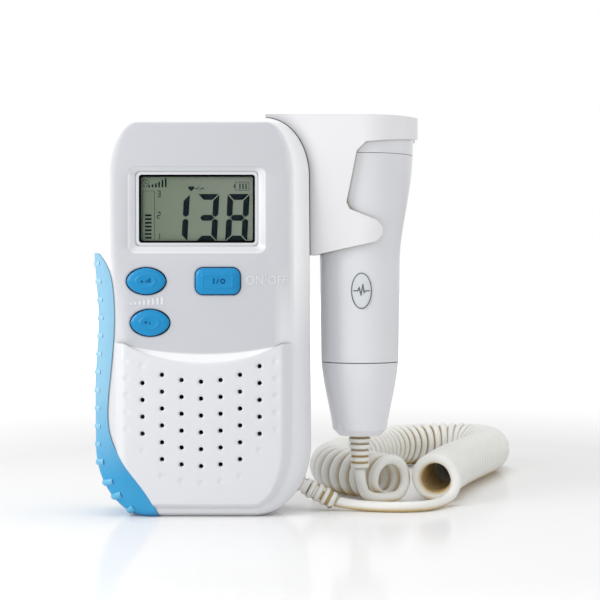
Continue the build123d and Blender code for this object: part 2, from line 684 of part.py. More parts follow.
def make_speaker_cone():
    rim, deep = SPEAKER_RADIUS - FLANGE_WIDTH - 0.1, BASKET_Y + CONE_DEPTH
    return ring_profile(
        [
            (0.0, deep),
            (CONE_DUST_CAP, deep),
            (rim - LEDGE_WIDTH - 0.5, BASKET_Y),
            (rim, BASKET_Y),
            (rim, BASKET_Y + CONE_THICK),
            (rim - LEDGE_WIDTH, BASKET_Y + CONE_THICK),
            (CONE_DUST_CAP + 0.2, deep + CONE_THICK),
            (0.0, deep + CONE_THICK),
        ]
    )


def make_speaker_magnet():
    front = BASKET_Y + BASKET_DEPTH
    magnet = rod((0, front, SPEAKER_Z), (0, front + MAGNET_THICK - 1.0, SPEAKER_Z), MAGNET_RADIUS)
    pole = rod((0, front - 1.2, SPEAKER_Z), (0, front + 1.0, SPEAKER_Z), POLE_HOLE - 0.9)
    return magnet + pole


# ---------------------------------------------------------------- main unit: batteries
CELLS = {-1: 1, 1: -1}  # which side a cell lies on, and which way its nub points


def make_batteries():
    cells = []
    for side, up in CELLS.items():
        x = side * CELL_X
        if up > 0:
            foot = BAY_LOW_Z + CONTACT_THICK + SPRING_HEIGHT
            tip = foot + CELL_LENGTH
        else:
            foot = BAY_TOP_Z - CONTACT_THICK - SPRING_HEIGHT
            tip = foot - CELL_LENGTH
        neck = tip - up * NUB_HEIGHT
        can = rod((x, CELL_Y, foot), (x, CELL_Y, neck), CELL_RADIUS)
        cells.append(can + rod((x, CELL_Y, neck), (x, CELL_Y, tip), NUB_RADIUS))
    return Compound(cells)


def make_battery_springs():
    springs = []
    for side, up in CELLS.items():
        wire, turns = 0.35, 3
        coil = Helix((SPRING_HEIGHT - 2 * wire) / turns, SPRING_HEIGHT - 2 * wire, 4.0)
        spring = sweep(Plane(origin=coil @ 0, z_dir=coil % 0) * Circle(wire), path=coil)
        if up > 0:
            foot = BAY_LOW_Z + CONTACT_THICK + wire
        else:
            foot = BAY_TOP_Z - CONTACT_THICK - SPRING_HEIGHT + wire
        springs.append(Pos(side * CELL_X, CELL_Y, foot) * spring)
    return Compound(springs)


def make_battery_contacts():
    plates = []
    for low in (BAY_LOW_Z, BAY_TOP_Z - CONTACT_THICK):
        z = (low, low + CONTACT_THICK)
        plates.append(block((-BAY_HALF + 0.6, BAY_HALF - 0.6), (CELL_Y - 5.5, CELL_Y + 5.5), z))
    return Compound(plates)


def make_battery_door():
    half, top = BAY_HALF + 0.6 - DOOR_GAP, BAY_TOP_Z + 2.5 - DOOR_GAP
    plate = block((-half, half), (DOOR_Y, REAR_Y), (HINGE_Z, top))
    barrel = rod((-half, HINGE_Y, HINGE_Z), (half, HINGE_Y, HINGE_Z), DOOR_THICK / 2)
    pin = BAY_HALF + 2.0
    door = plate + barrel + rod((-pin, HINGE_Y, HINGE_Z), (pin, HINGE_Y, HINGE_Z), DOOR_PIN_RADIUS)
    for rise in range(5):
        z = top - 6.0 - 1.8 * rise
        door -= block((-7.0, 7.0), (REAR_Y - 0.5, REAR_Y + 1), (z, z + 0.8))
    return door


# ---------------------------------------------------------------- main unit: socket and screws
def make_earphone_socket():
    outer = -CASE_HALF_TOP + 0.2
    sleeve = rod((outer, JACK_Y, JACK_Z), (outer + 4.0, JACK_Y, JACK_Z), JACK_SLEEVE)
    z = (JACK_Z - SOCKET_HEIGHT / 2, JACK_Z + SOCKET_HEIGHT / 2)
    body = block((outer + 3.0, outer + JACK_REACH), (BOARD_BACK_Y, BOARD_BACK_Y + SOCKET_DEPTH), z)
    bore = rod((outer - 1, JACK_Y, JACK_Z), (outer + JACK_REACH - 2.0, JACK_Y, JACK_Z), JACK_BORE)
    return sleeve + body - bore


def screw(head, tip, radius, head_radius, head_height):
    """A pan-head screw from the seat of its head to its tip, with a cross recess."""
    head, tip = Vector(head), Vector(tip)
    back = (head - tip).normalized()
    crown = head + back * head_height
    shape = rod(tip, head, radius) + rod(head, crown, head_radius)
    drive = Plane(origin=crown, z_dir=back)
    long, short, deep = head_radius, head_radius * 0.27, head_height * 0.8
    return shape - drive * Box(long, short, deep) - drive * Box(short, long, deep)


def make_case_screws():
    seat, tip = REAR_Y - HEAD_SINK, PANEL_BACK_Y + 2.0
    return Compound(
        [
            screw((x, seat, z), (x, tip, z), SCREW_RADIUS, SCREW_HEAD_RADIUS, SCREW_HEAD_HEIGHT)
            for x, z in CASE_SCREWS
        ]
    )


def make_board_screws():
    return Compound(
        [
            screw(
                (x, BOARD_BACK_Y, z), (x, BOARD_Y - 5.0, z),
                BOARD_SCREW_RADIUS, BOARD_HEAD_RADIUS, BOARD_HEAD_HEIGHT,
            )
            for x, z in BOARD_SCREWS
        ]
    )


def make_holder_screws():
    seat = CASE_HALF_TOP - WALL
    return Compound(
        [
            screw(
                (seat, HOLDER_SCREW_Y, z), (seat + 7.0, HOLDER_SCREW_Y, z),
                SCREW_RADIUS, SCREW_HEAD_RADIUS, SCREW_HEAD_HEIGHT,
            )
            for z in HOLDER_SCREW_Z
        ]
    )


# ---------------------------------------------------------------- probe
def probe_side(extra=0.0, low=None, high=None):
    """The probe's side grown by extra: straight handle, S-shaped flare, straight head."""
    low = TAIL_SEAM_Z if low is None else low
    high = PROBE_TOP_Z if high is None else high
    flare = [
        (HANDLE_RADIUS + FLARE_START_GROW + extra, 0, PROBE_TOP_Z - FLARE_LOW_DROP),
        (HANDLE_RADIUS + FLARE_MIDDLE_GROW + extra, 0, PROBE_TOP_Z - FLARE_MIDDLE_DROP),
        (HEAD_RADIUS + extra, 0, PROBE_TOP_Z - FLARE_TOP_DROP),
    ]
    handle = Line((HANDLE_RADIUS + extra, 0, low), flare[0])
    curve = Spline(*flare, tangents=[handle % 1, Vector(0, 0, 1)])
    head = Line(flare[-1], (HEAD_RADIUS + extra, 0, high))
    return [handle, curve, head]


def turned(side, corners):
    """Turn a side view about the probe's axis; straight lines through the corners close it."""
    ends = [side[-1] @ 1, *[Vector(radius, 0, z) for radius, z in corners], side[0] @ 0]
    face = make_face(Curve() + [*side, Polyline(*ends)])
    return Pos(PROBE_X, PROBE_Y, 0) * revolve(face, Axis.Z)


def probe_solid(extra=0.0):
    """The probe above its tail seam, grown by extra, as one turned solid."""
    return turned(probe_side(extra), [(0, PROBE_TOP_Z), (0, TAIL_SEAM_Z)])


def probe_slice(low, high):
    """A box that keeps the part of the probe between two heights."""
    reach = HEAD_RADIUS + 10
    return block((PROBE_X - reach, PROBE_X + reach), (PROBE_Y - reach, PROBE_Y + reach), (low, high))


def make_probe_housing():
    outer = probe_solid() & probe_slice(TAIL_SEAM_Z + SEAM, CAP_SEAM_Z - SEAM)
    return outer - probe_solid(-PROBE_WALL)


def make_probe_head_cap():
    cap = probe_solid() & probe_slice(CAP_SEAM_Z, PROBE_TOP_Z)
    cap = fillet(cap.faces().sort_by(Axis.Z)[-1].edges(), 1.5)
    cap -= rod((PROBE_X, PROBE_Y, CAP_SEAM_Z - 1), (PROBE_X, PROBE_Y, PROBE_TOP_Z - 1.6), HEAD_RADIUS - 3.0)
    return cap - rod((PROBE_X, PROBE_Y, PROBE_TOP_Z - 2), (PROBE_X, PROBE_Y, PROBE_TOP_Z + 1), HEAD_RADIUS - 4.2)


def make_probe_face():
    plate = rod((PROBE_X, PROBE_Y, PROBE_TOP_Z - 3.2), (PROBE_X, PROBE_Y, PROBE_TOP_Z - 1.6), FACE_RADIUS)
    return plate + rod(
        (PROBE_X, PROBE_Y, PROBE_TOP_Z - 2.0), (PROBE_X, PROBE_Y, PROBE_TOP_Z - 0.1), FACE_RADIUS - 1.2
    )


def make_transducer_discs():
    low, high = PROBE_TOP_Z - 4.2, PROBE_TOP_Z - 3.2
    disc = rod((PROBE_X, PROBE_Y, low), (PROBE_X, PROBE_Y, high), FACE_RADIUS - 4.0)
    disc -= block((PROBE_X - 0.6, PROBE_X + 0.6), (PROBE_Y - 30, PROBE_Y + 30), (low - 1, high + 1))
    return Compound(disc.solids())


def make_transducer_backing():
    return rod((PROBE_X, PROBE_Y, PROBE_TOP_Z - 12.0), (PROBE_X, PROBE_Y, PROBE_TOP_Z - 4.2), FACE_RADIUS - 0.1)


def make_probe_board():
    low, high = TAIL_SEAM_Z + 4.0, PROBE_TOP_Z - 12.0
    half = HANDLE_RADIUS - PROBE_WALL - 3.2
    board = block((PROBE_X - half, PROBE_X + half), (PROBE_Y - 0.6, PROBE_Y + 0.6), (low, high))
    for rise in (10.0, 26.0, 42.0):
        board += block(
            (PROBE_X - 4.0, PROBE_X + 4.0), (PROBE_Y - 2.2, PROBE_Y - 0.6), (low + rise, low + rise + 8.0)
        )
    return board


def make_probe_label():
    plate = slab(
        oval(LABEL_WIDTH, LABEL_HEIGHT, PROBE_X, TAIL_END_Z + LABEL_RISE), PROBE_Y - HEAD_RADIUS, PROBE_Y - 8.0
    )
    return (plate & probe_solid(LABEL_THICK)) - probe_solid()


def tail_solid(extra=0.0, floor=0.0):
    """The tail cap's solid form, grown by extra, down to a foot raised by floor."""
    narrow = HANDLE_RADIUS - TAIL_RADIUS
    middle_z = TAIL_END_Z + TAIL_HEIGHT * 0.42
    points = [
        (TAIL_RADIUS + extra, 0, TAIL_END_Z + TAIL_ROUND),
        (HANDLE_RADIUS - narrow * 0.62 + extra, 0, middle_z),
        (HANDLE_RADIUS + extra, 0, TAIL_SEAM_Z),
    ]
    side = [Spline(*points, tangents=[Vector(0.1, 0, 1), Vector(0.1, 0, 1)])]
    foot = TAIL_END_Z + floor
    return turned(side, [(0, TAIL_SEAM_Z), (0, foot), (TAIL_RADIUS - TAIL_ROUND + extra, foot)])


def make_probe_tail_cap():
    cap = tail_solid() - tail_solid(-PROBE_WALL, PROBE_WALL)
    cap -= block(
        (PROBE_X - 20, PROBE_X + 20), (PROBE_Y - 20, PROBE_Y + 20), (TAIL_SEAM_Z - SEAM, TAIL_SEAM_Z + 5)
    )
    cap -= rod(
        (PROBE_X, PROBE_Y, TAIL_END_Z - 1), (PROBE_X, PROBE_Y, TAIL_END_Z + 5), PROBE_RELIEF_TOP_RADIUS + 0.05
    )
    aside = math.sin(math.radians(45))
    notch = [
        (PROBE_X - reach * aside, PROBE_Y - reach * aside, TAIL_END_Z + z)
        for reach, z in ((10.6, -3.0), (14.2, 9.0))
    ]
    return cap - rod(*notch, NOTCH_RADIUS) - Pos(*notch[1]) * Sphere(NOTCH_RADIUS)


def strain_relief(length, buried, top_radius, end_radius, collar_radius, slots):
    """A tapered relief along +Z from its buried end, with a collar and alternating slots."""
    body = rod((0, 0, 0), (0, 0, length), top_radius, end_radius)
    body += rod((0, 0, 0), (0, 0, 1.5), collar_radius)
    body -= rod((0, 0, -1), (0, 0, length + 1), RELIEF_BORE)
    step = (length - buried - 2.0) / slots
    for slot in range(slots):
        z = buried + 1.6 + step * slot
        for side in (-1, 1):
            reach = RELIEF_BORE + 0.35
            if slot % 2 == 0:
                cut = block((-6, 6), sorted((side * reach, side * 8)), (z, z + step * 0.45))
            else:
                cut = block(sorted((side * reach, side * 8)), (-6, 6), (z, z + step * 0.45))
            body -= cut
    return body


def make_probe_strain_relief():
    relief = strain_relief(
        PROBE_RELIEF_LENGTH + PROBE_RELIEF_BURIED, PROBE_RELIEF_BURIED,
        PROBE_RELIEF_TOP_RADIUS, PROBE_RELIEF_END_RADIUS, PROBE_RELIEF_TOP_RADIUS + 1.6, 4,
    )
    top = TAIL_END_Z + PROBE_RELIEF_BURIED
    return Plane(origin=(PROBE_X, PROBE_Y, top), x_dir=(1, 0, 0), z_dir=(0, 0, -1)) * relief


def make_case_strain_relief():
    relief = strain_relief(
        CASE_RELIEF_LENGTH, 8.0, CASE_RELIEF_TOP_RADIUS, CASE_RELIEF_END_RADIUS, CASE_RELIEF_TOP_RADIUS + 0.9, 5
    )
    return Plane(origin=RELIEF_START, x_dir=(0, 1, 0), z_dir=RELIEF_DIRECTION) * relief


def make_cable_clamp():
    low = TAIL_END_Z + PROBE_RELIEF_BURIED
    ring = rod((PROBE_X, PROBE_Y, low), (PROBE_X, PROBE_Y, low + 4.0), PROBE_RELIEF_TOP_RADIUS + 1.6)
    return ring - rod((PROBE_X, PROBE_Y, low - 1), (PROBE_X, PROBE_Y, low + 5.0), RELIEF_BORE)


# ---------------------------------------------------------------- probe holder
def sleeve_form(extra, top=0.0):
    """The probe's side grown by extra over the holder's height, as one turned solid."""
    low = HOLDER_LOW_Z - 5.0
    side = probe_side(extra, low, HOLDER_TOP_Z + top)
    return turned(side, [(0, HOLDER_TOP_Z + top), (0, low)])


def make_probe_holder():
    grown = HOLDER_GAP + HOLDER_WALL
    holder = sleeve_form(grown)
    low, back = HOLDER_LOW_Z - 5.0, PROBE_Y + 8.0
    front = [mirror(edge, about=Plane.YZ) for edge in probe_side(grown, low, HOLDER_TOP_Z)]
    flat = Curve() + [Pos(0, PROBE_Y, 0) * Rot(0, 0, 90) * edge for edge in front]
    reach = HEAD_RADIUS + grown
    corners = Polyline(
        (0, PROBE_Y - reach, HOLDER_TOP_Z),
        (0, back, HOLDER_TOP_Z),
        (0, back, low),
        (0, PROBE_Y - HANDLE_RADIUS - grown, low),
    )
    web = extrude(make_face(flat + corners), amount=PROBE_X - HOLDER_LEFT_X, dir=(1, 0, 0))
    holder += Pos(HOLDER_LEFT_X, 0, 0) * web
    neck = extrude(make_face(flat + corners), amount=HOLDER_LEFT_X + 1 - TOP_FLAT, dir=(1, 0, 0))
    depths = (-REAR_Y * 2, REAR_Y - REAR_ROUND)
    neck = Pos(TOP_FLAT, 0, 0) * neck
    neck &= block((TOP_FLAT, HOLDER_LEFT_X + 1), depths, (HOLDER_LOW_Z, HOLDER_TOP_Z))
    clear = case_outline(-HOLDER_SEAM, -HOLDER_SEAM, -HOLDER_SEAM)
    neck -= slab(clear, -REAR_Y * 2, PARTING_Y + HOLDER_SEAM)
    holder += neck - rear_form(0.0, PARTING_Y)
    holder -= sleeve_form(HOLDER_GAP, 1.0)
    half = CORD_SLOT / 2
    holder -= block((PROBE_X, PROBE_X + 40), (PROBE_Y - half, PROBE_Y + half), (0, HOLDER_TOP_Z + 1))
    top = HOLDER_TOP_Z
    window = Polyline(
        (PROBE_X + 30, top - 7.4),
        (PROBE_X + 1.5, top - 10.1),
        (PROBE_X - 2.0, top - 13.5),
        (PROBE_X - 5.9, top - 32.9),
        (PROBE_X - 4.6, top - 35.5),
        (PROBE_X + 5.7, top - 39.5),
        (PROBE_X + 8.1, top - 42.2),
        (PROBE_X + 8.1, top - 45.2),
        (PROBE_X + 5.5, top - 47.8),
        (HOLDER_LEFT_X, top - HOLDER_HEIGHT + 0.4),
        (HOLDER_LEFT_X - 22, HOLDER_LOW_Z),
        (HOLDER_LEFT_X - 22, HOLDER_LOW_Z - 40),
        (PROBE_X + 30, HOLDER_LOW_Z - 40),
        close=True,
    )
    holder -= slab(make_face(window), -60, 80)
    for z in HOLDER_SCREW_Z:
        holder -= rod(
            (CASE_HALF_TOP - 4, HOLDER_SCREW_Y, z), (CASE_HALF_TOP + 6, HOLDER_SCREW_Y, z), SCREW_RADIUS + THREAD_GAP
        )
    return holder


# ---------------------------------------------------------------- cord
def tube(points, radius, label):
    """A round tube along straight runs that are joined by the largest tangent arcs."""
    points = [Vector(point) for point in points]
    radii = []
    for before, here, after in zip(points, points[1:], points[2:]):
        run_in, run_out = here - before, after - here
        half_turn = math.radians(run_in.get_angle(run_out)) / 2
        radii.append(0.45 * min(run_in.length, run_out.length) / math.tan(half_turn))
    path = FilletPolyline(*points, radius=radii)
    start = Plane(origin=points[0], z_dir=points[1] - points[0])
    solid = sweep(start * Circle(radius), path=path)
    share = solid.volume / (math.pi * radius**2 * path.length)
    print(label, "length", round(path.length, 1), "smallest radius", round(min(radii), 1), "fill", round(share, 4))
    return solid


COIL_ROUTE = [
    (66.0, 29.5),
    (57.6, 39.5),
    (51.8, 51.0),
    (50.4, 64.5),
    (54.0, 78.5),
    (60.5, 92.0),
    (67.0, 106.5),
    (73.0, 121.0),
    (81.0, 134.5),
    (92.5, 144.5),
    (106.0, 149.5),
    (118.0, 147.0),
    (125.5, 137.5),
    (126.0, 124.0),
    (120.5, 105.5),
    (112.0, 84.5),
    (103.5, 63.0),
    (96.5, 41.5),
    (91.0, 20.0),
]
coil_end = Vector(*COIL_ROUTE[-1], 0)
coil_direction = (coil_end - Vector(*COIL_ROUTE[-2], 0)).normalized()
lead_join = coil_end + Vector(-coil_direction.Y, coil_direction.X, 0) * 6.0 + Vector(0, 0, 3.2)
LEAD_JOIN_RUN = 8.5
UNIT_LEAD_ROUTE = [
    CASE_RELIEF_END,
    (57.0, -0.6, 2.4),
    (64.2, -3.0, 2.1),
    (72.2, -4.8, 2.1),
    (80.4, -4.4, 2.1),
    (87.8, -0.6, 2.1),
    lead_join + coil_direction * LEAD_JOIN_RUN,
    lead_join,
]
LOOP_RADIUS = 7.4
LOOP_CENTRE = (74.5, 19.0)
LOOP_END = COIL_ROUTE[0]


def loop_route():
    """Two loose turns between the probe lead and the tight coil, eight points a turn."""
    axis = Vector(LOOP_END[0] - LOOP_CENTRE[0], LOOP_END[1] - LOOP_CENTRE[1], 0)
    across = axis.normalized().cross(Vector(0, 0, 1))
    points, count = [], 16
    for step in range(count + 1):
        turn = math.radians(-90 + 45 * step)
        along = axis * (step / count)
        centre = Vector(*LOOP_CENTRE, LOOP_RADIUS + CORD_RADIUS + 0.6) + along
        ring = across * (LOOP_RADIUS * math.cos(turn)) + Vector(0, 0, LOOP_RADIUS * math.sin(turn))
        points.append(centre + ring)
    return points


LOOP_ROUTE = loop_route()
PROBE_LEAD_ROUTE = [
    (PROBE_X, PROBE_Y, TAIL_END_Z - PROBE_RELIEF_LENGTH),
    (PROBE_X + 0.5, PROBE_Y + 0.2, 7.2),
    (PROBE_X + 4.0, PROBE_Y + 2.4, 2.8),
    LOOP_ROUTE[0],
]


def make_coiled_lead():
    return tube([(x, y, COIL_Z) for x, y in COIL_ROUTE], COIL_RADIUS, "coiled_lead")


NODES = {
    "front_shell": make_front_shell,
    "rear_shell": make_rear_shell,
    "side_grip": make_side_grip,
    "lcd_window": make_lcd_window,
    "lcd_gasket": make_lcd_gasket,
    "lcd_glass": make_lcd_glass,
    "lcd_backlight": make_lcd_backlight,
    "lcd_connectors": make_lcd_connectors,
    "main_board": make_main_board,
    "board_components": make_board_components,
    "volume_up_button": lambda: make_key("volume_up_button"),
    "volume_down_button": lambda: make_key("volume_down_button"),
    "power_button": lambda: make_key("power_button"),
    "keypad_membrane": make_keypad_membrane,
    "speaker_gasket": make_speaker_gasket,
    "speaker_frame": make_speaker_frame,
    "speaker_cone": make_speaker_cone,
    "speaker_magnet": make_speaker_magnet,
    "batteries": make_batteries,
    "battery_springs": make_battery_springs,
    "battery_contacts": make_battery_contacts,
    "battery_door": make_battery_door,
    "earphone_socket": make_earphone_socket,
    "case_screws": make_case_screws,
    "board_screws": make_board_screws,
    "holder_screws": make_holder_screws,
    "probe_holder": make_probe_holder,
    "probe_housing": make_probe_housing,
    "probe_head_cap": make_probe_head_cap,
    "probe_face": make_probe_face,
    "transducer_discs": make_transducer_discs,
    "transducer_backing": make_transducer_backing,
    "probe_board": make_probe_board,
    "probe_label": make_probe_label,
    "probe_tail_cap": make_probe_tail_cap,
    "probe_strain_relief": make_probe_strain_relief,
    "cable_clamp": make_cable_clamp,
    "case_strain_relief": make_case_strain_relief,
    "coiled_lead": make_coiled_lead,
    "loose_turns": lambda: tube(LOOP_ROUTE, CORD_RADIUS, "loose_turns"),
    "unit_lead": lambda: tube(UNIT_LEAD_ROUTE, CORD_RADIUS, "unit_lead"),
    "probe_lead": lambda: tube(PROBE_LEAD_ROUTE, CORD_RADIUS, "probe_lead"),
}

os.makedirs("parts", exist_ok=True)
for node, make in NODES.items():
    save(make(), node)
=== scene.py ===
"""Looks of the fetal doppler monitor: cords, shells, display, keys, grip, probe and a plain studio.

Lengths are in metres, in the frame of the solids: the origin is the middle of the unit's flat base,
the front faces -Y and +Z is up. Sizes are written as millimetres times MM.
"""

from __future__ import annotations

import json
import logging
import math
from dataclasses import dataclass
from enum import Enum
from typing import Callable, Iterable, Sequence, Union

import bmesh
import bpy
from mathutils import Euler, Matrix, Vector


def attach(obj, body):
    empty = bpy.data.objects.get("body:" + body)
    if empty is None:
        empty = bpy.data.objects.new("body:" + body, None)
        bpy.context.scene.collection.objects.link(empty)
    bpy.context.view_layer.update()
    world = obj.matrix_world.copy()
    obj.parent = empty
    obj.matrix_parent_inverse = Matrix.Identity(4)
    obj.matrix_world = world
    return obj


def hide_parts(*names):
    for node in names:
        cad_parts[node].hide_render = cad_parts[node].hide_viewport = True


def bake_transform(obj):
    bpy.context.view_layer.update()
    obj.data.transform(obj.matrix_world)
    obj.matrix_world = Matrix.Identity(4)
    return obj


MM = 0.001
LOG = logging.getLogger("doppler")
Point = tuple[float, float, float]
Colour = tuple[float, float, float]
Pair = tuple[float, float]
Socket = bpy.types.NodeSocket


# ---------------------------------------------------------------- shader expressions
def _operator(operation: str, flipped: bool = False) -> Callable[["Signal", "Number"], "Signal"]:
    """Make the method behind one of Python's operators.

    Args:
        operation: the Math node's operation.
        flipped: True if the other operand comes first.

    Returns:
        The method.
    """

    def method(self: "Signal", other: "Number") -> "Signal":
        """Add the Math node."""
        pair = (other, self) if flipped else (self, other)
        return self.shader.math(operation, *pair)

    return method


class Signal:
    """A number that a shader works out at each point, used with Python's own operators."""

    __add__, __radd__ = _operator("ADD"), _operator("ADD", True)
    __sub__, __rsub__ = _operator("SUBTRACT"), _operator("SUBTRACT", True)
    __mul__, __rmul__ = _operator("MULTIPLY"), _operator("MULTIPLY", True)
    __truediv__ = _operator("DIVIDE")

    def __init__(self, shader: "Shader", socket: Socket) -> None:
        """Wrap one output socket of a shader."""
        self.shader = shader
        self.socket = socket

    def clamped(self) -> "Signal":
        """The signal held between 0 and 1."""
        return self.shader.math("MINIMUM", self.over(0.0), 1.0)

    def ramp(self, low: float, high: float) -> "Signal":
        """0 at low and 1 at high, held beyond them. Low may be the larger."""
        return ((self - low) / (high - low)).clamped()

    def around(self, level: float, swing: float) -> "Signal":
        """A level that the signal sways by half of swing to either side."""
        return self * swing + (level - swing / 2)

    def hypot(self, other: "Signal") -> "Signal":
        """The distance that the signal and another make at right angles."""
        return self.shader.math("SQRT", self * self + other * other)

    def off(self, middle: float) -> "Signal":
        """How far the signal lies from a middle."""
        return self.shader.math("ABSOLUTE", self - middle)

    def over(self, other: "Number") -> "Signal":
        """The larger of the signal and another number."""
        return self.shader.math("MAXIMUM", self, other)


Number = Union[float, int, Signal]
Value = Union[Number, Sequence[float], Socket]


class Tree:
    """A node tree with a single way to add any node."""

    def __init__(self, tree: bpy.types.NodeTree) -> None:
        """Wrap a tree, which starts empty."""
        self.tree = tree
        tree.nodes.clear()

    def node(self, kind: str, settings: dict | None = None, inputs: dict | None = None) -> bpy.types.Node:
        """Add a node.

        Args:
            kind: the node's type.
            settings: its own properties, such as a Math node's operation.
            inputs: socket name or number to a value, a signal or another node's socket.

        Returns:
            The new node.
        """
        made = self.tree.nodes.new(kind)
        for key, value in (settings or {}).items():
            setattr(made, key, value)
        for key, value in (inputs or {}).items():
            self._feed(made.inputs[key], value)
        return made

    def _feed(self, socket: Socket, value: Value) -> None:
        """Set a socket's value, or link it."""
        if isinstance(value, Signal):
            self.tree.links.new(value.socket, socket)
        elif isinstance(value, Socket):
            self.tree.links.new(value, socket)
        elif socket.type == "RGBA" and len(value) == 3:
            socket.default_value = (*value, 1.0)
        else:
            socket.default_value = value


class Shader(Tree):
    """The node tree of one material or world."""

    def __init__(self, name: str, kind: str = "materials") -> None:
        """Start an empty tree of that name: a material's, or a world's."""
        self.block = getattr(bpy.data, kind).new(name)
        self.block.use_nodes = True
        super().__init__(self.block.node_tree)

    def math(self, operation: str, *operands: Number) -> Signal:
        """A Math node's result."""
        made = self.node("ShaderNodeMath", {"operation": operation}, dict(enumerate(operands)))
        return Signal(self, made.outputs[0])

    def place(self) -> Socket:
        """The point's own place on the object."""
        return self.node("ShaderNodeTexCoord").outputs["Object"]

    def along(self, axis: str) -> Signal:
        """The point's own place along one axis, in metres."""
        parts = self.node("ShaderNodeSeparateXYZ", inputs={0: self.place()})
        return Signal(self, parts.outputs[axis])

    def noise(self, size: float, detail: float = 2.0, roughness: float = 0.5) -> Signal:
        """Cloudy noise.

        Args:
            size: width of its patches in metres.
            detail: how many finer layers it has.
            roughness: how strong the finer layers are.

        Returns:
            The noise, about 0 to 1.
        """
        made = self.node(
            "ShaderNodeTexNoise",
            inputs={"Vector": self.place(), "Scale": 1 / size, "Detail": detail, "Roughness": roughness},
        )
        return Signal(self, made.outputs["Fac"])

    def blend(self, factor: Number, first: Value, second: Value) -> Socket:
        """A colour between two colours."""
        made = self.node("ShaderNodeMix", {"data_type": "RGBA"}, {0: factor, 6: first, 7: second})
        return made.outputs[2]

    def bump(self, height: Number, depth: float, normal: Value | None = None) -> Socket:
        """A surface normal pushed by a height.

        Args:
            height: the height, 0 to 1.
            depth: how deep 0 to 1 is, in metres.
            normal: the normal that it starts from.

        Returns:
            The new normal.
        """
        inputs: dict = {"Height": height, "Distance": depth}
        if normal is not None:
            inputs["Normal"] = normal
        return self.node("ShaderNodeBump", inputs=inputs).outputs["Normal"]

    def soft_edges(self, radius: float) -> Socket:
        """A normal that rounds the piece's sharp edges by that radius."""
        return self.node("ShaderNodeBevel", {"samples": 6}, {"Radius": radius}).outputs["Normal"]

    def crevice(self, reach: float) -> Signal:
        """How closed in a point is: 1 in the open, 0 deep in a gap as wide as reach."""
        made = self.node("ShaderNodeAmbientOcclusion", {"samples": 8}, {"Distance": reach})
        return Signal(self, made.outputs["AO"])


# ---------------------------------------------------------------- finishes
def srgb(red: int, green: int, blue: int) -> Colour:
    """A screen colour of 0 to 255 as the linear colour that a shader takes."""

    def linear(value: float) -> float:
        """One channel."""
        share = value / 255
        return share / 12.92 if share <= 0.04045 else ((share + 0.055) / 1.055) ** 2.4

    return linear(red), linear(green), linear(blue)


@dataclass(frozen=True)
class Finish:
    """What a piece is finished in. Each kind of finish says what its shader gets."""

    name: str

    def inputs(self, shader: Shader) -> dict:
        """The shader's socket names to values."""
        raise NotImplementedError

    def material(self) -> bpy.types.Material:
        """Build the material round a Principled shader."""
        shader = Shader(self.name)
        surface = shader.node("ShaderNodeBsdfPrincipled", inputs=self.inputs(shader))
        shader.node("ShaderNodeOutputMaterial", inputs={"Surface": surface.outputs[0]})
        return shader.block


@dataclass(frozen=True)
class MouldedPlastic(Finish):
    """A moulded skin: fine spark grain, faint flow marks, soft edges and a little gloss."""

    colour: Colour
    shade: Colour
    roughness: float = 0.34
    coat: float = 0.12
    grain: float = 0.004 * MM
    edge: float = 0.35 * MM
    specular: float = 0.5
    # painted shade: a warmer colour where ambient occlusion finds a crevice or seam
    crevice_shade_colour: Colour | None = None
    crevice_shade_reach: float = 2.4 * MM
    crevice_shade_range: Pair = (0.3, 0.6)
    flow_size: float = 26 * MM
    flow_range: Pair = (0.1875, 0.8125)

    def base(self, shader: Shader) -> Socket:
        """The skin's colour, with a warmer painted shade where a crevice or seam closes it in."""
        flow = shader.noise(self.flow_size, 3.0).ramp(*self.flow_range)
        colour = shader.blend(flow, self.colour, self.shade)
        if self.crevice_shade_colour is None:
            return colour
        openness = shader.crevice(self.crevice_shade_reach).ramp(*self.crevice_shade_range)
        return shader.blend(openness, self.crevice_shade_colour, colour)

    def inputs(self, shader: Shader) -> dict:
        """The shader's socket names to values."""
        grain = shader.noise(0.35 * MM, 2.0, 0.6)
        handled = shader.noise(9 * MM, 4.0)
        return {
            "Base Color": self.base(shader),
            "Roughness": handled.around(self.roughness, 0.08),
            "Coat Weight": self.coat,
            "Coat Roughness": 0.2,
            "Specular IOR Level": self.specular,
            "Normal": shader.bump(grain, self.grain, shader.soft_edges(self.edge)),
        }


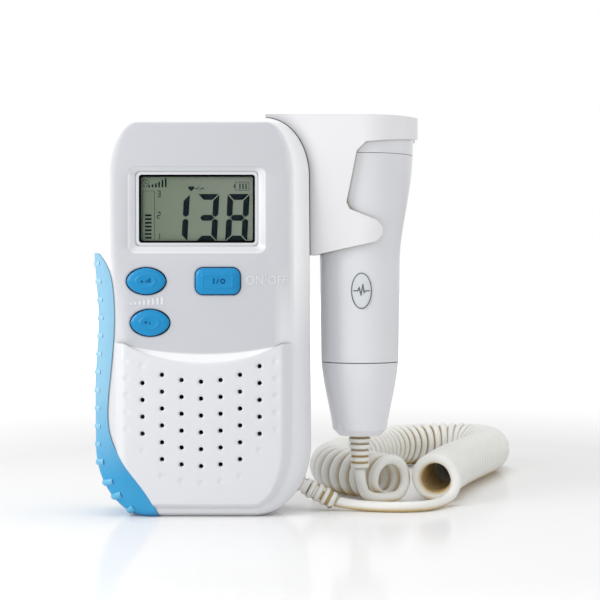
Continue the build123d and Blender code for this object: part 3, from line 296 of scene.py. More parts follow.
@dataclass(frozen=True)
class CaseSkin(MouldedPlastic):
    """The front shell's skin, with painted shade: greyer on the recessed upper panel, on the bulge and in the
    display's recess, and darker in the bulge's dimples, so that the step between panel and bulge stands out
    palest as a painted highlight.
    """

    # painted shade on the panel, the bulge with the flanks below the step, and the display's recess; the
    # dimples' deeper shade comes from ambient occlusion
    panel_shade_colour: Colour = (0.7, 0.71, 0.73)
    panel_y: float = -16.0 * MM
    fade: float = 0.3 * MM
    bulge_shade_colour: Colour = (0.7, 0.71, 0.73)
    bulge_y: float = -18.0 * MM
    bulge_reach: float = 0.48 * MM
    dimple_reach: float = 1.6 * MM
    dimple_range: Pair = (0.72, 0.96)
    dimple_shade: float = 0.8
    smile_z: float = 59.0 * MM
    smile_fade: float = 6.0 * MM
    smile_half: float = 27.0 * MM
    flank_width: float = 3.0 * MM
    flank_top: float = 95.0 * MM
    flank_fade: float = 32.0 * MM
    surround_shade_colour: Colour = (0.75, 0.76, 0.78)
    surround_middle: Pair = (-1.7 * MM, 115.8 * MM)
    surround_half: Pair = (26.0 * MM, 17.0 * MM)

    def base(self, shader: Shader) -> Socket:
        """The skin's colour with painted shade: greyer on the panel, on the bulge and in the display's
        recess, so that the step between stands out palest as a painted highlight.
        """
        across, depth, height = (shader.along(axis) for axis in "XYZ")
        on_panel = depth.off(self.panel_y).ramp(self.fade, 0.0)
        on_face = depth.off(self.bulge_y).ramp(self.bulge_reach, self.bulge_reach - self.fade)
        below = height.ramp(self.smile_z, self.smile_z - self.smile_fade)
        beside = across.off(0.0).ramp(self.smile_half, self.smile_half + self.flank_width)
        flank = beside * height.ramp(self.flank_top, self.flank_top - self.flank_fade)
        (middle_x, middle_z), (half_x, half_z) = self.surround_middle, self.surround_half
        sunk = across.off(middle_x).ramp(half_x, half_x - MM) * height.off(middle_z).ramp(half_z, half_z - MM)
        # painted shade in the display's recess and on the panel, then the bulge's painted shade below the
        # step and on the flanks
        skin = shader.blend(sunk, super().base(shader), self.surround_shade_colour)
        skin = shader.blend(on_panel, skin, self.panel_shade_colour)
        return shader.blend(on_face.over(below).over(flank), skin, self.shaded(shader))

    def shaded(self, shader: Shader) -> Socket:
        """The bulge's painted shade, with deeper painted shade in its dimples."""
        openness = shader.crevice(self.dimple_reach).ramp(*self.dimple_range)
        deep = tuple(self.dimple_shade * part for part in self.bulge_shade_colour)
        return shader.blend(openness, deep, self.bulge_shade_colour)


@dataclass(frozen=True)
class SleeveSkin(MouldedPlastic):
    """The sleeve's skin, with a painted shadow, soft and grey, along the case's round shoulder."""

    shade_colour: Colour = (0.52, 0.525, 0.55)
    shoulder: Pair = (24.0 * MM, 128.0 * MM)
    radii: Pair = (16.4 * MM, 22.0 * MM)
    reach: float = 0.3

    def base(self, shader: Shader) -> Socket:
        """The skin's colour, with the painted shadow greyer near the case's outline."""
        across = (shader.along("X") - self.shoulder[0]) / self.radii[0]
        rise = (shader.along("Z") - self.shoulder[1]).over(0.0) / self.radii[1]
        near = (across.hypot(rise) - 1.0).ramp(self.reach, 0.0)
        # painted shadow of the case's shoulder, fading away from its outline
        return shader.blend(near * near, super().base(shader), self.shade_colour)


@dataclass(frozen=True)
class SoftRubber(Finish):
    """Soft grip rubber: paler blue towards the top and a fuller blue towards the bottom, painted shade of a
    deeper blue in its crevices, and a fine matt skin.
    """

    low_colour: Colour
    high_colour: Colour
    low: float
    high: float
    roughness: float = 0.42
    # painted shade: a deeper blue where ambient occlusion finds a crevice
    deep_shade_colour: Colour = (0.02, 0.2, 0.42)
    deep_reach: float = 2.2 * MM
    deep_range: Pair = (0.35, 0.75)

    def inputs(self, shader: Shader) -> dict:
        """The shader's socket names to values."""
        openness = shader.crevice(self.deep_reach).ramp(*self.deep_range)
        rise = shader.along("Z").ramp(self.low, self.high)
        cloud = shader.noise(6 * MM, 3.0).around(0.0, 0.16)
        skin = shader.noise(0.5 * MM, 3.0, 0.6)
        return {
            # painted shade in the crevices, over a blue that is paler towards the top
            "Base Color": shader.blend(
                openness,
                self.deep_shade_colour,
                shader.blend((rise + cloud).clamped(), self.low_colour, self.high_colour),
            ),
            "Roughness": self.roughness + skin * 0.1,
            "Coat Weight": 0.08,
            "Coat Roughness": 0.35,
            "Subsurface Weight": 0.05,
            "Subsurface Radius": (1.5 * MM, 1.5 * MM, 2.5 * MM),
            "Normal": shader.bump(skin, 0.02 * MM, shader.soft_edges(0.3 * MM)),
        }


@dataclass(frozen=True)
class CordSkin(Finish):
    """Ivory cord jacket with painted shade: tan where turns and slots close it in, darker in the grooves
    between turns and tan inside the coil's open ring.
    """

    colour: Colour
    # painted shade: tan where ambient occlusion finds turns and slots closing in, darker in the grooves, tan
    # in the open ring
    deep_shade_colour: Colour
    reach: float
    closed: float = 0.22
    opened: float = 0.62
    roughness: float = 0.4
    groove_shade_colour: Colour = (0.5, 0.485, 0.43)
    groove_reach: float = 1.3 * MM
    groove_range: Pair = (0.58, 0.98)
    bore_shade_colour: Colour = (0.78, 0.6, 0.32)
    bore_start: Point = (91.0 * MM, 20.0 * MM, 10.0 * MM)
    bore_way: Pair = (0.248, 0.969)
    bore_radius: float = 7.4 * MM
    bore_length: float = 34.0 * MM
    bore_fade: float = 4.0 * MM

    def inputs(self, shader: Shader) -> dict:
        """The shader's socket names to values."""
        openness = shader.crevice(self.reach).ramp(self.closed, self.opened)
        groove = shader.crevice(self.groove_reach).ramp(*self.groove_range)
        jacket = shader.blend(groove, self.groove_shade_colour, self.colour)
        jacket = shader.blend(self._in_bore(shader), jacket, self.bore_shade_colour)
        skin = shader.noise(1.1 * MM, 3.0)
        # noise sways where the painted shade begins
        shade_sway = shader.noise(14 * MM, 2.0).around(0.0, 0.08)
        return {
            "Base Color": shader.blend((openness + shade_sway).clamped(), self.deep_shade_colour, jacket),
            "Roughness": skin.around(self.roughness, 0.1),
            "Coat Weight": 0.1,
            "Coat Roughness": 0.25,
            "Subsurface Weight": 0.06,
            "Subsurface Radius": (2.0 * MM, 1.7 * MM, 1.2 * MM),
            "Normal": shader.bump(skin, 0.012 * MM),
        }

    def _in_bore(self, shader: Shader) -> Signal:
        """1 on the turns' inner side behind the coil's open ring, which the light reaches least."""
        across, ahead, height = (shader.along(axis) - start for axis, start in zip("XYZ", self.bore_start))
        aside = across * self.bore_way[1] - ahead * self.bore_way[0]
        along = across * self.bore_way[0] + ahead * self.bore_way[1]
        inside = aside.hypot(height).ramp(self.bore_radius, self.bore_radius - MM)
        inside *= along.ramp(-self.bore_fade / 2, self.bore_fade / 2)
        return inside * along.ramp(self.bore_length, self.bore_length - self.bore_fade)


@dataclass(frozen=True)
class DisplayFilm(Finish):
    """Reflective display film: grey-green, a little lighter to the right, with a fine sheen."""

    dark: Colour
    light: Colour
    left: float = -24 * MM
    width: float = 46 * MM

    def inputs(self, shader: Shader) -> dict:
        """The shader's socket names to values."""
        across = (shader.along("X") - self.left) / self.width
        film = shader.noise(0.4 * MM, 2.0)
        return {
            "Base Color": shader.blend((across + film.around(0.0, 0.14)).clamped(), self.dark, self.light),
            "Roughness": 0.42 + film * 0.08,
            "Specular IOR Level": 0.1,
            "Normal": shader.bump(film, 0.003 * MM),
        }


@dataclass(frozen=True)
class ClearWindow(Finish):
    """A clear hard window: mostly see-through, with a faint wiped haze in its gloss."""

    name: str = "clear_window"
    alpha: float = 0.08

    def inputs(self, shader: Shader) -> dict:
        """The shader's socket names to values."""
        haze = shader.noise(7 * MM, 4.0, 0.6)
        return {
            "Base Color": (0.02, 0.02, 0.02),
            "Roughness": 0.05 + haze * 0.06,
            "Alpha": self.alpha,
            "Specular IOR Level": 0.4,
        }


class MetalFinish(Enum):
    """How a metal piece was finished, and the roughness that this leaves."""

    TURNED = 0.38
    PLATED = 0.22


@dataclass(frozen=True)
class Metal(Finish):
    """Small metal parts: plated and bright, or turned and a little duller."""

    colour: Colour
    finish: MetalFinish = MetalFinish.PLATED

    def inputs(self, shader: Shader) -> dict:
        """The shader's socket names to values."""
        smear = shader.noise(1.6 * MM, 4.0, 0.65)
        return {
            "Base Color": shader.blend(smear * 0.4, self.colour, tuple(0.8 * c for c in self.colour)),
            "Metallic": 1.0,
            "Roughness": self.finish.value + smear * 0.16,
            "Normal": shader.bump(smear, 0.006 * MM, shader.soft_edges(0.12 * MM)),
        }


@dataclass(frozen=True)
class PlainSolid(Finish):
    """Boards, cells and other inner pieces: one colour with a fine mottle."""

    colour: Colour
    mottle: float
    roughness: float = 0.5
    patch: float = 2.0 * MM
    specular: float = 0.5

    def inputs(self, shader: Shader) -> dict:
        """The shader's socket names to values."""
        patch = shader.noise(self.patch, 4.0, 0.6)
        darker = tuple(part * (1 - self.mottle) for part in self.colour)
        return {
            "Base Color": shader.blend(patch, self.colour, darker),
            "Roughness": self.roughness + patch * 0.12,
            "Specular IOR Level": self.specular,
            "Normal": shader.bump(patch, 0.01 * MM),
        }


class Finishes:
    """Every finish of the monitor, each made once and kept."""

    WHITE = MouldedPlastic("white_plastic", srgb(242, 242, 244), srgb(239, 240, 242))
    # painted shade: greyer panel, bulge and display recess, darker dimples, leaving the step palest as a
    # painted highlight
    FRONT = CaseSkin(
        "front_plastic",
        srgb(246, 246, 248),
        srgb(243, 244, 246),
        edge=1.2 * MM,
        panel_shade_colour=srgb(201, 203, 208),
        bulge_shade_colour=srgb(225, 226, 230),
        surround_shade_colour=srgb(222, 224, 228),
    )
    # painted shade: tan where the probe's seams close in
    PROBE_WHITE = MouldedPlastic(
        "probe_plastic", srgb(235, 236, 240), srgb(232, 233, 237), 0.3, 0.2, crevice_shade_colour=srgb(184, 168, 130)
    )
    # painted shade: grey in the tail cap's notch
    TAIL_WHITE = MouldedPlastic(
        "tail_plastic",
        srgb(235, 236, 240),
        srgb(232, 233, 237),
        0.3,
        0.2,
        crevice_shade_colour=srgb(172, 172, 158),
        crevice_shade_reach=3.0 * MM,
        crevice_shade_range=(0.6, 0.86),
    )
    # painted shadow along the case's shoulder and painted tan shade in the sleeve's corners
    HOLDER = SleeveSkin(
        "holder_plastic", srgb(243, 243, 246), srgb(241, 241, 244), crevice_shade_colour=srgb(200, 188, 160)
    )
    KEY = MouldedPlastic(
        "key_plastic", srgb(8, 144, 202), srgb(5, 134, 192), 0.3, 0.3, 0.002 * MM, 0.15 * MM, specular=0.2
    )
    # painted shade: the skirt is dark navy so that the gap round each key reads dark
    KEY_SHADE = PlainSolid("key_skirt", srgb(10, 24, 62), 0.1, 0.5, specular=0.1)
    KEY_MARK = MouldedPlastic(
        "key_mark", srgb(4, 78, 136), srgb(3, 72, 128), 0.4, 0.0, 0.002 * MM, 0.1 * MM, specular=0.1
    )
    RAISED = MouldedPlastic(
        "raised_mark", srgb(224, 226, 230), srgb(222, 224, 229), 0.28, 0.2, 0.002 * MM, 0.1 * MM
    )
    # painted shade: a deeper blue in the grip's crevices
    GRIP = SoftRubber("grip_rubber", srgb(42, 156, 208), srgb(138, 192, 220), 14 * MM, 48 * MM)
    GRIP_RIDGE = SoftRubber(
        "grip_ridge_rubber", srgb(92, 178, 218), srgb(156, 202, 226), 10 * MM, 48 * MM, 0.34
    )
    # painted shade: tan where turns close in, in the grooves and in the open ring
    CORD = CordSkin("cord_skin", srgb(245, 245, 241), srgb(210, 184, 126), 5 * MM, 0.25, 0.8)
    # painted shade: tan in the relief's slots
    RELIEF = CordSkin("relief_skin", srgb(244, 243, 237), srgb(168, 142, 88), 2.6 * MM, 0.5, 0.8)
    # painted shade: the core between the relief's rings is tan
    SLOT = PlainSolid("relief_slot", srgb(186, 162, 108), 0.15, 0.6, specular=0.2)
    FILM = DisplayFilm("display_film", srgb(124, 140, 118), srgb(150, 160, 146))
    SEGMENT = PlainSolid("display_segment", srgb(10, 28, 34), 0.1, 0.4, 0.5 * MM, 0.0)
    FAINT_SEGMENT = PlainSolid("faint_segment", srgb(74, 88, 80), 0.1, 0.4, 0.5 * MM, 0.0)
    WINDOW = ClearWindow()
    BLACK = PlainSolid("black_gasket", srgb(12, 12, 14), 0.2, 0.55)
    INK = PlainSolid("black_ink", srgb(8, 8, 10), 0.2, 0.5, specular=0.0)
    TRIM = MouldedPlastic(
        "window_trim", srgb(216, 218, 222), srgb(214, 216, 221), 0.3, 0.1, 0.001 * MM, 0.1 * MM
    )
    CONE = PlainSolid("speaker_paper", srgb(22, 22, 24), 0.3, 0.8)
    BOARD = PlainSolid("green_board", srgb(24, 92, 52), 0.25, 0.4)
    CHIP = PlainSolid("chip_resin", srgb(26, 26, 29), 0.2, 0.5)
    MEMBRANE = PlainSolid("key_membrane", srgb(186, 190, 196), 0.08, 0.6)
    CELL = PlainSolid("cell_wrap", srgb(44, 50, 58), 0.15, 0.3)
    CERAMIC = PlainSolid("disc_ceramic", srgb(214, 206, 188), 0.1, 0.35)
    RESIN = PlainSolid("backing_resin", srgb(62, 60, 66), 0.2, 0.6)
    FACE = MouldedPlastic("contact_face", srgb(214, 217, 222), srgb(208, 212, 218), 0.22, 0.3)
    LABEL = PlainSolid("label_plate", srgb(226, 229, 232), 0.03, 0.24)
    LABEL_INK = PlainSolid("label_ink", srgb(86, 98, 108), 0.1, 0.4, 0.5 * MM)
    STEEL = Metal("plated_steel", srgb(196, 198, 202))
    MAGNET = Metal("magnet_steel", srgb(150, 152, 156), MetalFinish.TURNED)

    _made: dict[str, bpy.types.Material] = {}

    @classmethod
    def get(cls, finish: Finish) -> bpy.types.Material:
        """The material of a finish, made on its first use."""
        if finish.name not in cls._made:
            cls._made[finish.name] = finish.material()
        return cls._made[finish.name]


# ---------------------------------------------------------------- meshes
def new_object(name: str, data: bpy.types.ID) -> bpy.types.Object:
    """A new object in the scene, at the origin."""
    made = bpy.data.objects.new(name, data)
    bpy.context.scene.collection.objects.link(made)
    return made


def piece_from(name: str, mesh: bpy.types.Mesh, finish: Finish | None = None) -> bpy.types.Object:
    """Make an object at the origin for a mesh.

    Args:
        name: the piece's name.
        mesh: its mesh, already in place.
        finish: the finish that it gets.

    Returns:
        The new object.
    """
    mesh.name = name
    piece = new_object(name, mesh)
    if finish is not None:
        mesh.materials.clear()
        mesh.materials.append(Finishes.get(finish))
    return piece


def mesh_from(name: str, build: bmesh.types.BMesh) -> bpy.types.Mesh:
    """Turn a bmesh into a mesh and free it."""
    mesh = bpy.data.meshes.new(name)
    build.to_mesh(mesh)
    build.free()
    return mesh


def tidy_normals(build: bmesh.types.BMesh, angle: float) -> None:
    """Merge doubles, turn faces outwards, shade them smooth and keep edges sharper than angle (degrees)."""
    bmesh.ops.remove_doubles(build, verts=build.verts, dist=0.002 * MM)
    bmesh.ops.recalc_face_normals(build, faces=build.faces)
    shade_by_angle(build, angle)


def shade_by_angle(build: bmesh.types.BMesh, angle: float) -> None:
    """Shade faces smooth and mark edges sharper than angle, in degrees."""
    limit = math.radians(angle)
    for face in build.faces:
        face.smooth = True
    for edge in build.edges:
        edge.smooth = len(edge.link_faces) == 2 and edge.calc_face_angle(0.0) < limit


def shown_as_mesh(node: str, finish: Finish, angle: float = 24.0) -> bpy.types.Object:
    """A merged, smooth copy of a solid's mesh that stands for the solid.

    Args:
        node: the solid's name.
        finish: the finish of the copy.
        angle: edges sharper than this, in degrees, stay sharp.

    Returns:
        The copy, riding on the solid's body.
    """
    build = bmesh.new()
    build.from_mesh(FRAME["nodes"][node].data)
    bmesh.ops.remove_doubles(build, verts=build.verts, dist=0.001 * MM)
    shade_by_angle(build, angle)
    piece = piece_from(f"{node}_skin", mesh_from(node, build), finish)
    even = piece.modifiers.new("even_shading", "WEIGHTED_NORMAL")
    even.keep_sharp = True
    even.weight = 80
    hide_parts(node)
    return ride_on(piece, BODY_OF[node])


def dress(node: str, finish: Finish) -> None:
    """Give a solid that stays as it is its finish."""
    mesh = FRAME["nodes"][node].data
    mesh.materials.clear()
    mesh.materials.append(Finishes.get(finish))


def plates(
    name: str, outlines: Iterable[Sequence[Pair]], front: float, back: float, finish: Finish
) -> bpy.types.Object:
    """Flat plates that face the viewer, as one piece.

    Args:
        name: the piece's name.
        outlines: the (x, z) corners of each plate, in millimetres.
        front: depth of the front faces.
        back: depth of the rear faces.
        finish: the finish that they get.

    Returns:
        The piece.
    """
    build = bmesh.new()
    for outline in outlines:
        face = build.faces.new([build.verts.new((x * MM, back, z * MM)) for x, z in outline])
        grown = bmesh.ops.extrude_face_region(build, geom=[face])["geom"]
        moved = [item for item in grown if isinstance(item, bmesh.types.BMVert)]
        bmesh.ops.translate(build, verts=moved, vec=(0.0, front - back, 0.0))
    bmesh.ops.recalc_face_normals(build, faces=build.faces)
    return piece_from(name, mesh_from(name, build), finish)


def rectangle(low: Pair, high: Pair) -> list[Pair]:
    """The corners of a rectangle from its lowest and highest corner."""
    return [low, (high[0], low[1]), high, (low[0], high[1])]


def curve_mesh(curve: bpy.types.Object) -> bpy.types.Mesh:
    """A curve object's evaluated mesh."""
    graph = bpy.context.evaluated_depsgraph_get()
    return bpy.data.meshes.new_from_object(curve.evaluated_get(graph), depsgraph=graph)


def spline_object(name: str, points: Sequence[Vector], resolution: int) -> bpy.types.Object:
    """A curve of one open NURBS spline with those control points."""
    data = bpy.data.curves.new(name, "CURVE")
    data.dimensions = "3D"
    data.resolution_u = resolution
    data.use_fill_caps = True
    spline = data.splines.new("NURBS")
    spline.points.add(len(points) - 1)
    for slot, point in zip(spline.points, points):
        slot.co = (*point, 1.0)
    spline.order_u = 3
    spline.use_endpoint_u = True
    return new_object(name, data)


def line_of(points: Sequence[Vector], resolution: int = 12) -> list[Vector]:
    """Points along the smooth line that control points make."""
    curve = spline_object("route", points, resolution)
    mesh = curve_mesh(curve)
    line = [vertex.co.copy() for vertex in mesh.vertices]
    data = curve.data
    bpy.data.objects.remove(curve)
    bpy.data.curves.remove(data)
    bpy.data.meshes.remove(mesh)
    return line


class Path:
    """A line of points that can be read at any distance along it."""

    def __init__(self, points: Sequence[Vector]) -> None:
        """Measure the line."""
        self.points = list(points)
        self.marks = [0.0]
        for here, after in zip(self.points, self.points[1:]):
            self.marks.append(self.marks[-1] + (after - here).length)
        self.length = self.marks[-1]

    def at(self, distance: float) -> tuple[Vector, Vector]:
        """The place and the direction at a distance along the line."""
        distance = min(max(distance, 0.0), self.length)
        index = 0
        while index < len(self.marks) - 2 and self.marks[index + 1] < distance:
            index += 1
        run = self.marks[index + 1] - self.marks[index]
        share = (distance - self.marks[index]) / run
        first, second = self.points[index], self.points[index + 1]
        return first.lerp(second, share), (second - first).normalized()

    def direction(self, distance: float, reach: float) -> Vector:
        """The direction about a distance, smoothed over reach on each side."""
        before, _ = self.at(distance - reach)
        after, _ = self.at(distance + reach)
        return (after - before).normalized()


def wheel(
    build: bmesh.types.BMesh, centre: Vector, across: Vector, upward: Vector, radius: float, sides: int
) -> list[bmesh.types.BMVert]:
    """A round ring of corners.

    Args:
        build: the mesh that gets them.
        centre: the ring's middle.
        across: one direction in its plane.
        upward: the other.
        radius: its radius.
        sides: how many corners.

    Returns:
        The corners.
    """
    turns = [2 * math.pi * side / sides for side in range(sides)]
    spokes = [across * math.cos(turn) + upward * math.sin(turn) for turn in turns]
    return [build.verts.new(centre + spoke * radius) for spoke in spokes]


def bridge(
    build: bmesh.types.BMesh, rings: Sequence[Sequence[bmesh.types.BMVert]], looped: bool = False
) -> None:
    """Fill the bands between rings of corners, and close both ends or join them.

    Args:
        build: the mesh that has the rings.
        rings: rings with as many corners each.
        looped: True if the last ring joins the first.
    """
    pairs = list(zip(rings, rings[1:]))
    if looped:
        pairs.append((rings[-1], rings[0]))
    for ring, after in pairs:
        for index, corner in enumerate(ring):
            nearby = (index + 1) % len(ring)
            build.faces.new((corner, ring[nearby], after[nearby], after[index]))
    if not looped:
        build.faces.new(list(reversed(rings[0])))
        build.faces.new(rings[-1])


def tube(line: Sequence[Vector], radius: float, sides: int) -> bpy.types.Mesh:
    """A closed round tube along a line.

    Args:
        line: points that it follows.
        radius: its radius.
        sides: sides of its section.

    Returns:
        The tube's mesh.
    """
    build = bmesh.new()
    across = (line[1] - line[0]).normalized().orthogonal()
    rings = []
    for index, point in enumerate(line):
        along = (line[min(index + 1, len(line) - 1)] - line[max(index - 1, 0)]).normalized()
        across = (across - along * across.dot(along)).normalized()
        rings.append(wheel(build, point, across, along.cross(across), radius, sides))
    bridge(build, rings)
    tidy_normals(build, 40.0)
    return mesh_from("tube", build)


# ---------------------------------------------------------------- repeated pieces
class Recipe(Tree):
    """A geometry node tree that repeats a small form, with named sizes."""

    def __init__(self, name: str) -> None:
        """Start a tree that takes and gives geometry."""
        super().__init__(bpy.data.node_groups.new(name, "GeometryNodeTree"))
        self.sockets: dict[str, str] = {}
        for way in ("INPUT", "OUTPUT"):
            self.tree.interface.new_socket("Geometry", in_out=way, socket_type="NodeSocketGeometry")
        self.entry = self.tree.nodes.new("NodeGroupInput")
        self.exit = self.tree.nodes.new("NodeGroupOutput")

    def size(self, name: str) -> Socket:
        """Add a named length and return its socket."""
        item = self.tree.interface.new_socket(name, in_out="INPUT", socket_type="NodeSocketFloat")
        self.sockets[name] = item.identifier
        return self.entry.outputs[name]

    def vector(self, x: object = 0.0, y: object = 0.0, z: object = 0.0) -> Socket:
        """A vector of three numbers or sockets."""
        return self.node("ShaderNodeCombineXYZ", inputs={0: x, 1: y, 2: z}).outputs[0]

    def raised(self, geometry: Socket, height: object) -> Socket:
        """Geometry shifted along its own Z."""
        inputs = {"Geometry": geometry, "Translation": self.vector(z=height)}
        return self.node("GeometryNodeTransform", inputs=inputs).outputs[0]

    def joined(self, *parts: Socket) -> Socket:
        """Several geometries as one."""
        made = self.node("GeometryNodeJoinGeometry")
        for part in parts:
            self.tree.links.new(part, made.inputs[0])
        return made.outputs[0]

    def finish(self, geometry: Socket, finish: Finish) -> None:
        """Close the tree: realize the copies, shade them smooth and give them a finish."""
        real = self.node("GeometryNodeRealizeInstances", inputs={0: geometry})
        smooth = self.node("GeometryNodeSetShadeSmooth", inputs={0: real.outputs[0]})
        material = Finishes.get(finish)
        dressed = self.node("GeometryNodeSetMaterial", inputs={0: smooth.outputs[0], "Material": material})
        self.tree.links.new(dressed.outputs[0], self.exit.inputs[0])

    def on_points(self, form: Socket, finish: Finish) -> None:
        """Close the tree with the form at each vertex, turned by its "turn"."""
        turn = self.node("GeometryNodeInputNamedAttribute", {"data_type": "FLOAT_VECTOR"}, {"Name": "turn"})
        placed = self.node(
            "GeometryNodeInstanceOnPoints",
            inputs={"Points": self.entry.outputs[0], "Instance": form, "Rotation": turn.outputs[0]},
        )
        self.finish(placed.outputs[0], finish)


@dataclass(frozen=True)
class Seat:
    """Where one copy of a repeated form goes, and how it is turned."""

    place: Point
    turn: Point = (0.0, 0.0, 0.0)


def bake(
    name: str, base: bpy.types.Mesh, recipe: Recipe, sizes: dict[str, float], sharp: float
) -> bpy.types.Object:
    """Run a recipe on a base mesh and keep the result as a plain mesh.

    Args:
        name: the new piece's name.
        base: the mesh of seats or lines that the recipe reads.
        recipe: the tree.
        sizes: its named sizes.
        sharp: edges sharper than this, in degrees, stay sharp.

    Returns:
        The new piece.
    """
    holder = piece_from(f"{name}_base", base)
    modifier = holder.modifiers.new("repeat", "NODES")
    modifier.node_group = recipe.tree
    for size, value in sizes.items():
        modifier[recipe.sockets[size]] = value
    baked = curve_mesh(holder)
    holder.modifiers.remove(modifier)
    bpy.data.objects.remove(holder)
    materials = list(baked.materials)
    build = bmesh.new()
    build.from_mesh(baked)
    tidy_normals(build, sharp)
    mesh = mesh_from(name, build)
    for material in materials:
        mesh.materials.append(material)
    return piece_from(name, mesh)


def repeat(
    name: str, recipe: Recipe, sizes: dict[str, float], seats: Sequence[Seat], sharp: float
) -> bpy.types.Object:
    """Run a recipe on seats, one copy of its form on each, and keep the result as a plain mesh."""
    base = bpy.data.meshes.new(f"{name}_seats")
    base.from_pydata([seat.place for seat in seats], [], [])
    turns = base.attributes.new("turn", "FLOAT_VECTOR", "POINT")
    turns.data.foreach_set("vector", [part for seat in seats for part in seat.turn])
    return bake(name, base, recipe, sizes, sharp)


def turn_towards(direction: Vector) -> Point:
    """The turn that points a form's Z in a direction."""
    return tuple(direction.to_track_quat("Z", "Y").to_euler())


# ---------------------------------------------------------------- camera and studio
@dataclass(frozen=True)
class Viewpoint:
    """The camera's place and lens."""

    place: Point = (37.0 * MM, -578 * MM, 89.4 * MM)
    pitch_down: float = 0.8
    lens: float = 90.0
    sensor: float = 36.0

    def build(self) -> None:
        """Make the camera and use it."""
        data = bpy.data.cameras.new("viewpoint")
        data.lens = self.lens
        data.sensor_width = self.sensor
        data.clip_start = 10 * MM
        camera = new_object("viewpoint", data)
        camera.location = self.place
        camera.rotation_euler = Euler((math.radians(90 - self.pitch_down), 0.0, 0.0))
        bpy.context.scene.camera = camera


@dataclass(frozen=True)
class SoftLight:
    """One square lamp that looks at the object."""

    name: str
    place: Point
    size: float
    power: float
    aim: Point = (30 * MM, 0.0, 75 * MM)

    def build(self) -> None:
        """Make the lamp."""
        data = bpy.data.lights.new(self.name, "AREA")
        data.size = self.size
        data.energy = self.power
        lamp = new_object(self.name, data)
        lamp.location = self.place
        lamp.rotation_euler = turn_towards(Vector(self.place) - Vector(self.aim))


@dataclass(frozen=True)
class Studio:
    """A white table that fades into a white backdrop, and soft lamps at a plain level."""

    lamps: tuple[SoftLight, ...] = (
        SoftLight("left_box", (-0.44, -0.32, 0.3), 0.36, 2.05),
        SoftLight("right_box", (0.85, -0.1, 0.4), 0.6, 1.1),
        SoftLight("top_box", (0.05, 0.05, 0.95), 0.8, 3.0),
        SoftLight("front_fill", (-0.2, -1.2, 0.45), 0.9, 1.15),
    )
    sky: float = 0.4
    floor_reach: float = 8.0
    near_glow: float = 0.06
    far_glow: float = 1.0
    middle: Pair = (60 * MM, 60 * MM)
    fade_start: float = 0.2
    fade_width: float = 0.7
    floor_gloss: float = 0.16
    floor_grey: float = 0.93
    floor_roughness: float = 0.9
    sheen_roughness: float = 0.12

    def build(self) -> None:
        """Make the world, the floor and the lamps, and set the plain view."""
        bpy.context.scene.view_settings.view_transform = "Standard"
        self._world()
        self._floor()
        for lamp in self.lamps:
            lamp.build()

    def _world(self) -> None:
        """White where the camera and reflections look, softer as a light."""
        shader = Shader("white_room", "worlds")
        rays = shader.node("ShaderNodeLightPath").outputs
        clear = shader.math("MAXIMUM", rays["Is Glossy Ray"], rays["Is Transmission Ray"])
        level = clear.over(rays["Is Camera Ray"]) * (1.0 - self.sky) + self.sky
        room = shader.node("ShaderNodeBackground", inputs={"Color": (1.0, 1.0, 1.0), "Strength": level})
        shader.node("ShaderNodeOutputWorld", inputs={"Surface": room.outputs[0]})
        bpy.context.scene.world = shader.block

    def _floor(self) -> None:
        """A wide white table with a soft sheen."""
        build = bmesh.new()
        bmesh.ops.create_grid(build, x_segments=1, y_segments=1, size=self.floor_reach)
        floor = piece_from("table", mesh_from("table", build))
        shader = Shader("white_table")
        rays = shader.node("ShaderNodeLightPath")
        seen = Signal(shader, rays.outputs["Is Camera Ray"])
        across, ahead = shader.along("X") - self.middle[0], shader.along("Y") - self.middle[1]
        far = across.hypot(ahead).ramp(self.fade_start, self.fade_start + self.fade_width)
        glow = seen * (self.near_glow + far * (self.far_glow - self.near_glow))
        skin = shader.node(
            "ShaderNodeBsdfPrincipled",
            inputs={
                "Base Color": (self.floor_grey,) * 3,
                "Roughness": self.floor_roughness,
                "Specular IOR Level": 0.0,
                "Emission Color": shader.blend(glow, (0.0, 0.0, 0.0), (1.0, 1.0, 1.0)),
                "Emission Strength": 1.0,
            },
        )
        gloss = {"Color": (1.0, 1.0, 1.0), "Roughness": self.sheen_roughness}
        sheen = shader.node("ShaderNodeBsdfGlossy", inputs=gloss)
        mixed = shader.node(
            "ShaderNodeMixShader",
            inputs={0: seen * self.floor_gloss, 1: skin.outputs[0], 2: sheen.outputs[0]},
        )
        shader.node("ShaderNodeOutputMaterial", inputs={"Surface": mixed.outputs[0]})
        floor.data.materials.append(shader.block)


